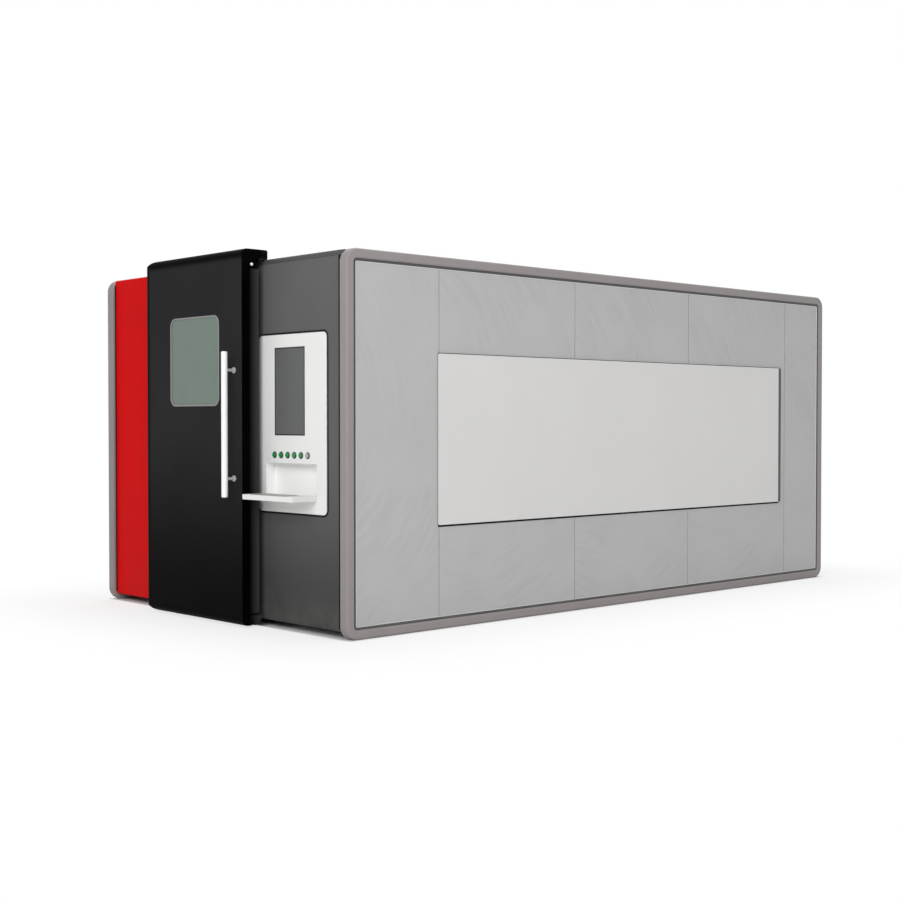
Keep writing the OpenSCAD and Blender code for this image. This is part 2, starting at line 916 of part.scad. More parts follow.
// Control cabinet behind the console, with a door and louvres towards the doorway
module control_cabinet() {
  x = wall_back + cabinet_gap;
  y = -y_in + cabinet_w;
  louvre_z = cabinet_h * louvre_base_share;
  color(c_grey) {
    block([x, -y_in, wall_lift], [x + cabinet_d, y, cabinet_h]);
    difference() {
      block(
        [x + cabinet_margin, y, wall_lift + cabinet_plinth],
        [x + cabinet_d - cabinet_margin, y + cabinet_door_t, cabinet_h - cabinet_margin]
      );
      for (i = [0:louvre_count - 1])
        block(
          [x + cabinet_d * louvre_shares[0], y, louvre_z + i * louvre_pitch],
          [x + cabinet_d * louvre_shares[1], y + cabinet_door_t + cut,
           louvre_z + i * louvre_pitch + louvre_h]
        );
    }
  }
}

// Laser source with front handles, behind the red wall
module laser_source() {
  x = wall_back + cabinet_gap;
  y = y_in - source_w;
  low = source_h * source_grip_shares[0];
  high = source_h * source_grip_shares[1];
  color(c_dark) {
    block([x, y, wall_lift], [x + cabinet_d, y_in, source_h]);
    for (px = [x + source_grip_inset, x + cabinet_d - source_grip_inset - source_grip_t])
      difference() {
        block([px, y - source_grip_out, low], [px + source_grip_t, y, high]);
        block(
          [px - cut, y - source_grip_out + source_grip_t, low + source_grip_t],
          [px + source_grip_t + cut, y, high - source_grip_t]
        );
      }
  }
}

// Side beams, pocketed between ribs, with ledges for the table and cross tubes between them
module machine_bed() {
  pitch = bed_l / pocket_count;
  color(c_bed) {
    for (side = [0, 1])
      mirror([0, side, 0]) translate([bed_x, 0, 0]) {
        difference() {
          block([0, bed_in, base_top], [bed_l, bed_out, bed_top]);
          for (i = [0:pocket_count - 1])
            block(
              [i * pitch + rib_t, bed_in + rib_t, base_top + rib_t],
              [(i + 1) * pitch - rib_t, bed_out + cut, rack_z - gear_face]
            );
        }
        block([0, bed_in - ledge_w, table_z - ledge_h], [bed_l, bed_in, table_z]);
      }
    for (i = [0:cross_count - 1]) {
      at = bed_x + i * (bed_l - cross_w) / (cross_count - 1);
      block(
        [at, -bed_in + slide_fit, base_top],
        [at + cross_w, bed_in - slide_fit, base_top + cross_h]
      );
    }
  }
}

// Rails for the gantry on the bed's side beams
module x_rails() {
  color(c_steel)
    for (y = [-guide_y, guide_y])
      translate([rack_start, y, bed_top])
        guide_rail(bed_l - 2 * rack_inset, guide_w, guide_h);
}

// Racks on the outer faces of the side beams, teeth outwards
module x_racks() {
  color(c_steel)
    for (side = [0, 1])
      mirror([0, side, 0]) translate([rack_start, bed_out, rack_z])
        linear_extrude(gear_face) polygon(rack_outline(x_rack_teeth));
}

// Frame of the table with notched combs that hold the slats
module slat_frame() {
  y = bed_in - door_slack;
  color(c_bed) {
    for (side = [0, 1])
      mirror([0, side, 0]) difference() {
        block([table_x, y - comb_w, table_z], [table_x + table_l, y, table_z + comb_h]);
        for (i = [0:slat_count - 1])
          translate([slat_x(i) - slide_fit, y - comb_w - cut, table_z + comb_h - slat_seat])
            cube([slat_t + 2 * slide_fit, slat_notch + cut, slat_seat + cut]);
      }
    for (x = [table_x, table_x + table_l - comb_w])
      block([x, -y + comb_w, table_z], [x + comb_w, y - comb_w, table_z + comb_h / 2]);
  }
}

function slat_x(i) = table_x + (i + 0.5) * table_l / slat_count - slat_t / 2;

// Upright slats with pointed tops that carry the sheet
module support_slats() {
  half = bed_in - door_slack - comb_w + slat_notch - slide_fit;
  points = floor(2 * half / slat_tooth);
  pitch = 2 * half / points;
  valley_share = 0.74;
  color(c_steel)
    for (i = [0:slat_count - 1])
      on_end(slat_x(i)) translate([0, table_z + comb_h - slat_seat, 0])
        linear_extrude(slat_t) polygon(concat(
          [[half, 0], [-half, 0], [-half, slat_h * valley_share]],
          [
            for (k = [0:points - 1], s = [[0.5, 1], [1, valley_share]])
              [-half + (k + s[0]) * pitch, slat_h * s[1]]
          ]
        ));
}

// Open slag trays with sloped ends on the cross tubes
module slag_trays() {
  z = base_top + cross_h;
  pitch = table_l / tray_count;
  half = bed_in - ledge_w - 2 * plate_t;
  slope = slag_h / 2;
  color(c_bed)
    for (i = [0:tray_count - 1])
      translate([table_x + i * pitch + plate_t, 0, z]) difference() {
        on_side(half) linear_extrude(2 * half) polygon([
          [slope, 0], [pitch - 2 * plate_t - slope, 0],
          [pitch - 2 * plate_t, slag_h], [0, slag_h]
        ]);
        on_side(half - sheet_t) linear_extrude(2 * (half - sheet_t)) polygon([
          [slope + sheet_t, sheet_t], [pitch - 2 * plate_t - slope - sheet_t, sheet_t],
          [pitch - 2 * plate_t - sheet_t, slag_h + cut], [sheet_t, slag_h + cut]
        ]);
      }
}

// Suction plenum across the bed's rear end, with its duct through the rear wall
module fume_duct() {
  from = bed_x + bed_l - plenum_l;
  start = bed_x + bed_l;
  duct_l = x_rear + rear_reach - start - slide_fit;
  color(c_steel) {
    difference() {
      block([from, -bed_in, base_top + cross_h], [start, bed_in, base_top + cross_h + plenum_h]);
      on_end(start - plenum_l * intake_share) translate([0, duct_z, 0])
        cylinder(r = intake_r, h = plenum_l);
    }
    on_end(start + slide_fit) translate([0, duct_z, 0]) difference() {
      cylinder(r = duct_r, h = duct_l);
      translate([0, 0, -cut]) cylinder(r = duct_r - duct_wall, h = duct_l + 2 * cut);
    }
  }
}

// Door leaf, rounded along its top, bottom and far edge, with the window's hole and the foot rail
module door_leaf() {
  hole = seal_w + slide_fit;
  color(c_black) {
    difference() {
      intersection() {
        on_end(leaf_x) translate([door_y, door_lift, 0]) linear_extrude(door_t) {
          rounded_rect(door_w, leaf_h, door_corner_r);
          square([door_w / 2, leaf_h]);
        }
        translate([leaf_x, door_y - door_edge_r, 0]) linear_extrude(door_top)
          rounded_rect(door_t + door_edge_r, door_w + door_edge_r, door_edge_r);
        on_side(door_y + door_w) translate([leaf_x, door_lift, 0]) linear_extrude(door_w)
          rounded_rect(door_t + door_edge_r, leaf_h, door_edge_r);
      }
      on_end(leaf_x - cut) translate([window_y - hole, window_z - hole, 0])
        linear_extrude(door_t + 2 * cut)
          rounded_rect(window_w + 2 * hole, window_h + 2 * hole, window_r + hole);
    }
    difference() {
      on_side(door_y + door_w - door_corner_r) linear_extrude(door_w - door_corner_r) polygon([
        [leaf_back, door_lift], [leaf_back + foot_rail_t, door_lift],
        [leaf_back + foot_rail_t + foot_lip, door_lift + foot_rail_h * lip_share],
        [leaf_back + foot_rail_t + foot_lip, door_lift + foot_rail_h],
        [leaf_back, door_lift + foot_rail_h]
      ]);
      block(
        [leaf_back + foot_rail_t / 2 - fin_t, door_y - cut, door_lift - cut],
        [leaf_back + foot_rail_t / 2 + fin_t, door_y + door_w, door_lift + foot_rail_h / 2]
      );
    }
  }
}

module door_window() {
  color(c_glass) on_end(leaf_x + sheet_t) translate([window_y, window_z, 0])
    linear_extrude(window_t) rounded_rect(window_w, window_h, window_r);
}

// Rubber seal between glass and leaf
module window_seal() {
  w = window_w + 2 * seal_w;
  h = window_h + 2 * seal_w;
  r = window_r + seal_w;
  color(c_black) on_end(leaf_x) translate([window_y + window_w / 2, window_z + window_h / 2, 0])
    frame_sweep(w, h, r) translate([r - seal_w + slide_fit, 0])
      square([seal_w - slide_fit, seal_t]);
}

// Hood that closes the gap above the wall and carries the hanger arms
module door_hood() {
  color(c_black) on_side(door_y + door_w - door_corner_r) linear_extrude(door_w - door_corner_r)
    intersection() {
      translate([leaf_back - plate_t, hood_z - plate_t])
        rounded_rect(x_front + hood_back - leaf_back + plate_t, door_top - hood_z + plate_t, plate_t);
      translate([leaf_back, hood_z]) square([door_out + body_w, door_top - hood_z]);
    }
}

// Long pull handle: bar, two posts and their roses
module door_handle() {
  rose_t = handle_post_d / 3;
  end_r = handle_d / 2;
  bevel_share = 0.2;
  bevel = end_r * bevel_share;
  color(c_steel) {
    translate([handle_x, handle_y, handle_z]) rotate_extrude() polygon([
      [0, 0], [end_r - bevel, 0], [end_r, bevel],
      [end_r, handle_l - bevel], [end_r - bevel, handle_l], [0, handle_l]
    ]);
    for (z = [handle_z + handle_inset, handle_z + handle_l - handle_inset])
      on_end(handle_x) translate([handle_y, z, 0]) {
        cylinder(d = handle_post_d, h = handle_out);
        translate([0, 0, handle_out - rose_t]) cylinder(d = 2 * handle_post_d, h = rose_t);
      }
  }
}

// Arms that reach over the wall to the rollers, with fixed axles
module hanger_arms() {
  from = x_front + hood_back;
  to = rail_x + roller_w / 2;
  cheek = roller_x - arm_cheek - slide_fit;
  color(c_steel)
    for (y = arm_y) {
      block([from, y - arm_half, door_top - arm_plate], [to, y + arm_half, door_top]);
      block(
        [cheek, y - arm_half / 2, roller_z - 2 * axle_r],
        [cheek + arm_cheek, y + arm_half / 2, door_top - arm_plate]
      );
      on_end(cheek + arm_cheek) translate([y, roller_z, 0])
        cylinder(r = axle_r, h = to - cheek - arm_cheek);
    }
}

// Flanged roller
module door_roller(i) {
  tread = rail_w + 4 * slide_fit;
  lip = (roller_w - tread) / 2;
  big = roller_r + roller_flange;
  color(c_steel) on_end(roller_x) translate([arm_y[i], roller_z, 0]) rotate_extrude() polygon([
    [axle_r + run_fit, 0], [big, 0], [big, lip], [roller_r, lip],
    [roller_r, lip + tread], [big, lip + tread], [big, roller_w], [axle_r + run_fit, roller_w]
  ]);
}

module door_roller_1() {
  door_roller(0);
}

module door_roller_2() {
  door_roller(1);
}

// Loading door in the rear wall, with stiffening folds and a lifting bar
module lift_door() {
  z = load_z - lift_lap;
  h = load_h + 2 * lift_lap;
  folds = 4;
  bar = lift_t - plate_t;
  color(c_grey) {
    block([lift_x, -lift_y, z], [lift_x + plate_t, lift_y, z + h]);
    for (y = [-lift_y, lift_y - bar])
      block([lift_x + plate_t, y, z], [lift_x + lift_t, y + bar, z + h]);
    for (i = [0:folds])
      translate([0, 0, z + i * (h - bar) / folds])
        block([lift_x + plate_t, -lift_y + bar, 0], [lift_x + lift_t, lift_y - bar, bar]);
  }
}

// Cast gantry beam with weight-saving pockets in its rear face
module gantry_beam() {
  pockets = 8;
  pitch = 2 * beam_half / pockets;
  wall_share = 0.1;
  deep_share = 0.45;
  color(c_steel) difference() {
    block([beam_x, -beam_half, beam_z], [beam_x + beam_d, beam_half, beam_top]);
    for (i = [0:pockets - 1])
      on_end(beam_x + beam_d * (1 - deep_share))
        translate([-beam_half + (i + wall_share) * pitch, beam_z + beam_h * wall_share, 0])
          linear_extrude(beam_d)
            rounded_rect(pitch * (1 - 2 * wall_share), beam_h * (1 - 2 * wall_share), plate_t);
  }
}

// Saddles that carry the beam on the guide blocks, bored for the drive shafts
module gantry_saddles() {
  color(c_bed)
    for (side = [0, 1])
      mirror([0, side, 0]) difference() {
        block(
          [beam_mid - saddle_l / 2, saddle_y, beam_z - saddle_t],
          [beam_mid + saddle_l / 2, saddle_y + saddle_w, beam_z]
        );
        translate([beam_mid, pinion_y, beam_z - saddle_t - cut])
          cylinder(r = shaft_r + run_fit, h = saddle_t + 2 * cut);
      }
}

module x_blocks() {
  color(c_steel)
    for (y = [-guide_y, guide_y], s = [-1, 1])
      translate([beam_mid + s * (saddle_l - block_l) / 2, y, bed_top])
        guide_block(block_l, block_w, block_lift, block_h, guide_w, guide_h);
}

module x_motors() {
  color(c_black)
    for (side = [0, 1])
      mirror([0, side, 0]) translate([beam_mid, pinion_y, beam_z]) servo(motor_l);
}

// Pinion below a saddle, its shaft up through the saddle into the gearbox
module x_pinion(side) {
  shaft_l = beam_z + shaft_in - slide_fit - rack_z - gear_face;
  color(c_steel) translate([beam_mid, side * pinion_y, rack_z])
    rotate(-90 * side - side * mesh_turn(beam_mid, rack_start)) {
      pinion();
      drive_shaft(shaft_l);
    }
}

module x_pinion_right() {
  x_pinion(-1);
}

module x_pinion_left() {
  x_pinion(1);
}

// Rails for the carriage on the beam's front face
module y_rails() {
  half = carriage_travel / 2 + carriage_half + y_rail_spare;
  color(c_steel)
    for (s = y_guide_shares)
      translate([beam_x, half, beam_z + s * beam_h])
        rotate([0, 0, -90]) rotate([90, 0, 0]) guide_rail(2 * half, y_guide_w, y_guide_h);
}

// Rack on the beam's top, teeth up
module y_rack() {
  color(c_steel) on_end(y_rack_x) translate([y_rack_start, beam_top, 0])
    linear_extrude(gear_face) polygon(rack_outline(y_rack_teeth));
}

// Carriage plate, bored for the drive shaft
module head_carriage() {
  color(c_bed) difference() {
    on_end(carriage_front) translate([-carriage_half, beam_z, 0])
      linear_extrude(carriage_t)
        rounded_rect(2 * carriage_half, beam_h + carriage_rise, 2 * plate_t);
    on_end(carriage_front - cut) translate([y_pinion_y, y_pinion_z, 0])
      cylinder(r = shaft_r + run_fit, h = carriage_t + 2 * cut);
  }
}

module y_blocks() {
  color(c_steel)
    for (s = y_guide_shares, side = [-1, 1])
      translate([beam_x, side * (carriage_half - y_block_l), beam_z + s * beam_h])
        rotate([0, 0, -90]) rotate([90, 0, 0])
          guide_block(y_block_l, y_block_w, y_block_lift, y_block_d, y_guide_w, y_guide_h);
}

module y_motor() {
  color(c_black) translate([carriage_front, y_pinion_y, y_pinion_z])
    rotate([0, -90, 0]) servo(motor_l);
}

// Pinion on the rack, its shaft forwards through the carriage plate into the gearbox
module y_pinion() {
  reach = y_rack_x - carriage_front + shaft_in - slide_fit;
  turn = -90 - mesh_turn(y_pinion_y, y_rack_start);
  color(c_steel) translate([0, y_pinion_y, y_pinion_z]) {
    on_end(y_rack_x) rotate(turn) pinion();
    on_end(y_rack_x + gear_face) rotate(turn) mirror([0, 0, 1]) drive_shaft(reach);
  }
}

// Closed lifting module with its guide rib and motor
module z_module() {
  color(c_dark) {
    block(
      [z_face, -z_box_half, z_box_z],
      [carriage_front, z_box_half, z_box_z + z_box_h]
    );
    block([z_face - z_rib_d, -z_rib_half, z_box_z], [z_face, z_rib_half, z_box_z + z_box_h]);
    translate([z_face, -z_box_d / 2, z_box_z + z_box_h]) linear_extrude(z_motor_h)
      rounded_rect(z_box_d, z_box_d, z_box_d / 8);
  }
}

// Slide that runs on the lifting module's rib
module z_slide() {
  color(c_steel) difference() {
    block(
      [slide_front, -z_slide_half, slide_z],
      [z_face - slide_fit, z_slide_half, slide_z + z_slide_h]
    );
    block(
      [z_face - z_rib_d - slide_fit, -z_rib_half - slide_fit, slide_z - cut],
      [z_face, z_rib_half + slide_fit, slide_z + z_slide_h + cut]
    );
  }
}

// Cutting head: focus block, collimator, fibre socket and the cone above the nozzle
module cutting_head() {
  top = nozzle_z + nozzle_h;
  block_z = top + head_half * 2;
  block_top = block_z + z_slide_h * head_block_share;
  color(c_white) {
    translate([head_x - head_half, -head_half, block_z])
      linear_extrude(block_top - block_z)
        rounded_rect(2 * head_half, 2 * head_half, head_half / 5);
    translate([head_x, 0, 0]) rotate_extrude() polygon([
      [0, top], [nozzle_r * seat_share, top], [head_half * cone_share, top + head_half],
      [head_half * neck_share, top + head_half], [head_half * neck_share, block_z], [0, block_z]
    ]);
    translate([head_x, 0, block_top]) rotate_extrude()
      polygon([for (s = collimator_shares) [s[0] * head_half, s[1] * z_slide_h]]);
  }
}

// Copper nozzle with its gas bore
module nozzle() {
  color(c_copper) translate([head_x, 0, nozzle_z]) rotate_extrude()
    polygon([for (s = nozzle_shares) [s[0] * nozzle_r, s[1] * nozzle_h]]);
}

right_side_frame();
left_side_frame();
right_panels();
left_panels();
cover_panels();
inner_frame();
roof_panels();
console_wall();
red_wall();
door_frame();
rear_wall();
lift_guides();
levelling_feet();
door_rail();
floor_guides();
console_housing();
console_screen();
button_collars();
tray_hinge_pin();
control_cabinet();
laser_source();
machine_bed();
x_rails();
x_racks();
slat_frame();
support_slats();
slag_trays();
fume_duct();
door_leaf();
door_window();
window_seal();
door_hood();
door_handle();
hanger_arms();
door_roller_1();
door_roller_2();
keyboard_tray();
push_button(1);  // push_button_1
push_button(2);  // push_button_2
push_button(3);  // push_button_3
push_button(4);  // push_button_4
push_button(5);  // push_button_5
push_button(6);  // push_button_6
lift_door();
gantry_beam();
gantry_saddles();
x_blocks();
x_motors();
x_pinion_right();
x_pinion_left();
y_rails();
y_rack();
head_carriage();
y_blocks();
y_motor();
y_pinion();
z_module();
z_slide();
cutting_head();
nozzle();
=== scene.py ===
"""Looks of the enclosed laser cutter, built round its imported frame. Metres, +Z up, door end at -X."""
import json
import math

import bmesh
import bpy
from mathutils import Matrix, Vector


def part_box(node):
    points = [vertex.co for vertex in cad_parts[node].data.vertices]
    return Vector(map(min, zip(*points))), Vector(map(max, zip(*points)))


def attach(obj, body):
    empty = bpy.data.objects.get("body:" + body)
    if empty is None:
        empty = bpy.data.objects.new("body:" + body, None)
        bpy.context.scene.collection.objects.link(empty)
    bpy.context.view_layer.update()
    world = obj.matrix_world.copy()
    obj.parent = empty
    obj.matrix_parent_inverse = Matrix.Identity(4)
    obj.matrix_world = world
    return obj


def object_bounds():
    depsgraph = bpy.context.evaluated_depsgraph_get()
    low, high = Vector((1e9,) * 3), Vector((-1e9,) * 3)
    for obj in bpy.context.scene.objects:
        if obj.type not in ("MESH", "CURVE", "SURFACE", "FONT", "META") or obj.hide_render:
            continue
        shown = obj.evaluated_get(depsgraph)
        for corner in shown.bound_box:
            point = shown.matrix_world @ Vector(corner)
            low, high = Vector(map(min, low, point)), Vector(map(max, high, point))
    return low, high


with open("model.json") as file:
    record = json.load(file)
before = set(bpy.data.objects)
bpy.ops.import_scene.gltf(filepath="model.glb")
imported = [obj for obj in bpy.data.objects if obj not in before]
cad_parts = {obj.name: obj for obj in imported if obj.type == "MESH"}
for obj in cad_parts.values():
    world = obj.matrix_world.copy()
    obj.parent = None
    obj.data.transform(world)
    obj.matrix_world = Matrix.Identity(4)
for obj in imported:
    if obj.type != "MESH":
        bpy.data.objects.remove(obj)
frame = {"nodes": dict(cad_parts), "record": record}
cad_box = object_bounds()
NODES = frame["nodes"]
SLOT_OF = {s["node"]: s["material_slot"] for s in frame["record"]["subparts"]}

# Where the camera stands, and its lens
CAMERA_AT = (-7.289, -7.417, 1.238)
CAMERA_AZIMUTH = -43.2
CAMERA_DROP = 1.22
LENS_MM = 56.4
SENSOR_MM = 36.0

# Sheet metal sizes that the CAD nodes' boxes don't give
FRAME_FACE = 0.057
FRAME_CORNER = 0.08
CONSOLE_CORNER = 0.03
WINDOW_CORNER = 0.054
LEAF_EDGE = 0.042
PANEL_PITCH = 1.2
FIRST_SEAM = -1.63
# Width of the painted shade at the cover panels' far end
COVER_SHADE_STRIP = 0.022
HANDLE_BAR = 0.036
# Depth over which the painted shadow on the door's gap flap lightens
FLAP_SHADOW_DEPTH = 0.07
BRACKET_DROP = 0.065
DUCT_RADIUS = 0.125

# Heights between which painted shade darkens the dark wall and the door towards the floor
WALL_SHADE_FADE = (0.05, 1.1)
DOOR_SHADE_FADE = (0.1, 1.3)

# Puts a plane just clear of the face that it bounds
CLEAR = 0.001

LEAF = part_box("door_leaf")
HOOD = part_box("door_hood")
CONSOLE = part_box("console_housing")
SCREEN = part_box("console_screen")
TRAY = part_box("keyboard_tray")
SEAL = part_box("window_seal")
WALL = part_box("console_wall")
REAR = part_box("rear_wall")
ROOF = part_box("roof_panels")
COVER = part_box("cover_panels")
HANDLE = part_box("door_handle")


def linear(rgb):
    """Linear colour with alpha from 0 to 255 screen values."""
    parts = [c / 255 for c in rgb]
    parts = [c / 12.92 if c <= 0.04045 else ((c + 0.055) / 1.055) ** 2.4 for c in parts]
    return (*parts, 1.0)


def shade(colour, factor):
    return (*[min(1.0, c * factor) for c in colour[:3]], 1.0)


def middle_and_size(box):
    return [(a + b) / 2 for a, b in zip(*box)], [b - a for a, b in zip(*box)]


# Node building

def place(tree, kind, inputs=None, **settings):
    """Adds a node with its settings, and links or sets its inputs."""
    made = tree.nodes.new(kind)
    for key, value in settings.items():
        setattr(made, key, value)
    for key, value in (inputs or {}).items():
        if isinstance(value, bpy.types.NodeSocket):
            tree.links.new(value, made.inputs[key])
        else:
            made.inputs[key].default_value = value
    return made


def calc(tree, operation, a, b=0.0, clamp=False):
    return place(tree, "ShaderNodeMath", {0: a, 1: b}, operation=operation, use_clamp=clamp).outputs[0]


def vector_calc(tree, operation, a, b=(0.0, 0.0, 0.0)):
    return place(tree, "ShaderNodeVectorMath", {0: a, 1: b}, operation=operation).outputs[0]


def mix(tree, factor, a, b):
    return place(tree, "ShaderNodeMix", {0: factor, 6: a, 7: b}, data_type="RGBA").outputs[2]


def remap(tree, value, low, high, to_low=0.0, to_high=1.0, curve="LINEAR"):
    return place(
        tree, "ShaderNodeMapRange",
        {"Value": value, "From Min": low, "From Max": high, "To Min": to_low, "To Max": to_high},
        interpolation_type=curve,
    ).outputs[0]


def noise(tree, vector, scale, detail=2.0, rough=0.5, distortion=0.0):
    return place(
        tree, "ShaderNodeTexNoise",
        {"Vector": vector, "Scale": scale, "Detail": detail, "Roughness": rough, "Distortion": distortion},
    ).outputs["Fac"]


def own_coords(tree):
    return place(tree, "ShaderNodeTexCoord").outputs["Object"]


def split(tree, vector):
    return place(tree, "ShaderNodeSeparateXYZ", {0: vector}).outputs


def joined(tree, x, y, z):
    return place(tree, "ShaderNodeCombineXYZ", {0: x, 1: y, 2: z}).outputs[0]


def effect(name, inputs, outputs):
    """A shader group with its sockets, and the two ends to wire it between."""
    tree = bpy.data.node_groups.new(name, "ShaderNodeTree")
    for label, kind, value in inputs:
        socket = tree.interface.new_socket(label, in_out="INPUT", socket_type="NodeSocket" + kind)
        socket.default_value = value
    for label, kind in outputs:
        tree.interface.new_socket(label, in_out="OUTPUT", socket_type="NodeSocket" + kind)
    return tree, tree.nodes.new("NodeGroupInput").outputs, tree.nodes.new("NodeGroupOutput").inputs


def use(tree, group, inputs=None):
    return place(tree, "ShaderNodeGroup", inputs, node_tree=group).outputs


# Effects that several finishes share

def coat_grain_effect():
    """Powder coat: fine orange peel and a broad, faint cloudiness."""
    tree, given, out = effect(
        "coat_grain",
        [("Grain", "Float", 520.0), ("Cloud", "Float", 2.2)],
        [("Tone", "Float"), ("Gloss", "Float"), ("Height", "Float")],
    )
    at = own_coords(tree)
    fine = noise(tree, at, given["Grain"], 2.0, 0.55)
    broad = noise(tree, at, given["Cloud"], 5.0, 0.6, 0.4)
    tree.links.new(remap(tree, broad, 0.3, 0.7), out["Tone"])
    mixed = calc(tree, "ADD", calc(tree, "MULTIPLY", fine, 0.6), calc(tree, "MULTIPLY", broad, 0.4))
    tree.links.new(mixed, out["Gloss"])
    tree.links.new(fine, out["Height"])
    return tree


def edge_rub_effect():
    """Broken rubbing along the edges of the box from Low to High."""
    tree, given, out = effect(
        "edge_rub",
        [("Low", "Vector", (0, 0, 0)), ("High", "Vector", (1, 1, 1)), ("Width", "Float", 0.012)],
        [("Mask", "Float")],
    )
    at = own_coords(tree)
    from_low = vector_calc(tree, "SUBTRACT", at, given["Low"])
    from_high = vector_calc(tree, "SUBTRACT", given["High"], at)
    x, y, z = split(tree, vector_calc(tree, "MINIMUM", from_low, from_high))
    least = calc(tree, "MINIMUM", calc(tree, "MINIMUM", x, y), z)
    most = calc(tree, "MAXIMUM", calc(tree, "MAXIMUM", x, y), z)
    total = calc(tree, "ADD", calc(tree, "ADD", x, y), z)
    second = calc(tree, "SUBTRACT", calc(tree, "SUBTRACT", total, least), most)
    close = remap(tree, second, 0.0, given["Width"], 1.0, 0.0, "SMOOTHSTEP")
    broken = remap(tree, noise(tree, at, 38.0, 4.0, 0.7), 0.42, 0.62)
    tree.links.new(calc(tree, "MULTIPLY", close, broken, True), out["Mask"])
    return tree


def settled_dust_effect():
    """Dust on what faces up, and a film close to the floor."""
    tree, given, out = effect(
        "settled_dust", [("Top", "Float", 0.5), ("Foot", "Float", 0.3)], [("Mask", "Float")]
    )
    at = own_coords(tree)
    up = split(tree, place(tree, "ShaderNodeNewGeometry").outputs["Normal"])[2]
    cloud = remap(tree, noise(tree, at, 5.5, 6.0, 0.65), 0.35, 0.7)
    top = calc(tree, "MULTIPLY", remap(tree, up, 0.7, 0.98), given["Top"])
    foot = remap(tree, split(tree, at)[2], 0.0, 0.32, 1.0, 0.0, "SMOOTHSTEP")
    both = calc(tree, "ADD", top, calc(tree, "MULTIPLY", foot, given["Foot"]))
    tree.links.new(calc(tree, "MULTIPLY", both, cloud, True), out["Mask"])
    return tree


def brushed_effect():
    """Fine lines along one direction, from a squeezed noise."""
    tree, given, out = effect(
        "brushed_lines",
        [("Squeeze", "Vector", (1.0, 1.0, 60.0)), ("Scale", "Float", 14.0)],
        [("Tone", "Float"), ("Height", "Float")],
    )
    at = vector_calc(tree, "MULTIPLY", own_coords(tree), given["Squeeze"])
    lines = noise(tree, at, given["Scale"], 5.0, 0.62)
    tree.links.new(remap(tree, lines, 0.3, 0.7), out["Tone"])
    tree.links.new(lines, out["Height"])
    return tree


def polish_arcs_effect():
    """Feathery polishing strokes, struck again in each panel: steep in the upper row, flat in the lower."""
    tree, given, out = effect(
        "polish_arcs",
        [("Start", "Float", FIRST_SEAM), ("Pitch", "Float", PANEL_PITCH), ("Middle", "Float", 1.12),
         ("Fineness", "Float", 26.0)],
        [("Tone", "Float")],
    )
    x, _, z = split(tree, own_coords(tree))
    counted = calc(tree, "DIVIDE", calc(tree, "SUBTRACT", x, given["Start"]), given["Pitch"])
    panel = calc(tree, "FLOOR", counted)
    upper = calc(tree, "GREATER_THAN", z, given["Middle"])
    across = calc(tree, "MULTIPLY", calc(tree, "FRACT", counted), given["Pitch"])
    across = calc(tree, "ADD", across, remap(tree, upper, 0.0, 1.0, -0.3, 0.7))
    rise = calc(tree, "ABSOLUTE", calc(tree, "SUBTRACT", z, given["Middle"]))
    field = joined(tree, x, calc(tree, "ADD", panel, calc(tree, "MULTIPLY", upper, 7.3)), z)
    wander = calc(tree, "MULTIPLY", noise(tree, field, 2.1, 2.0), 0.17)
    reach = calc(tree, "POWER", calc(tree, "ADD", calc(tree, "MULTIPLY", across, across),
                                     calc(tree, "MULTIPLY", rise, rise)), 0.5)
    swept = calc(tree, "MULTIPLY", calc(tree, "ADD", reach, wander), given["Fineness"])
    turn = calc(tree, "MULTIPLY", calc(tree, "ARCTAN2", rise, across), 2.2)
    feathers = remap(tree, noise(tree, joined(tree, swept, turn, panel), 1.0, 3.0, 0.6), 0.38, 0.66)
    patches = remap(tree, noise(tree, field, 2.7, 2.0), 0.4, 0.62)
    tree.links.new(calc(tree, "MULTIPLY", feathers, patches), out["Tone"])
    return tree


COAT = coat_grain_effect()
RUB = edge_rub_effect()
DUST = settled_dust_effect()
BRUSHED = brushed_effect()
ARCS = polish_arcs_effect()
DUST_COLOUR = linear((150, 146, 140))


# Finishes

def new_finish(name):
    made = bpy.data.materials.new(name)
    made.use_nodes = True
    return made, made.node_tree, made.node_tree.nodes["Principled BSDF"]


def toned(tree, factor, base, tone):
    """The base colour, a little darker to a little lighter."""
    return mix(tree, factor, shade(base, 1 - tone), shade(base, 1 + tone))


def dusted(tree, colour, dust):
    """The colour under dust on its top and at its foot, and the dust's mask."""
    settled = use(tree, DUST, {"Top": dust[0], "Foot": dust[1]})["Mask"]
    return mix(tree, settled, colour, DUST_COLOUR), settled


def between(tree, values, low, high):
    """One where both values lie between their limits."""
    inside = []
    for value, start, end in zip(values, low, high):
        past = calc(tree, "GREATER_THAN", value, start)
        inside.append(calc(tree, "MULTIPLY", past, calc(tree, "LESS_THAN", value, end)))
    return calc(tree, "MULTIPLY", *inside)


def bumped(tree, skin, strength, distance, height):
    bump = place(tree, "ShaderNodeBump", {"Strength": strength, "Distance": distance, "Height": height})
    tree.links.new(bump.outputs[0], skin.inputs["Normal"])


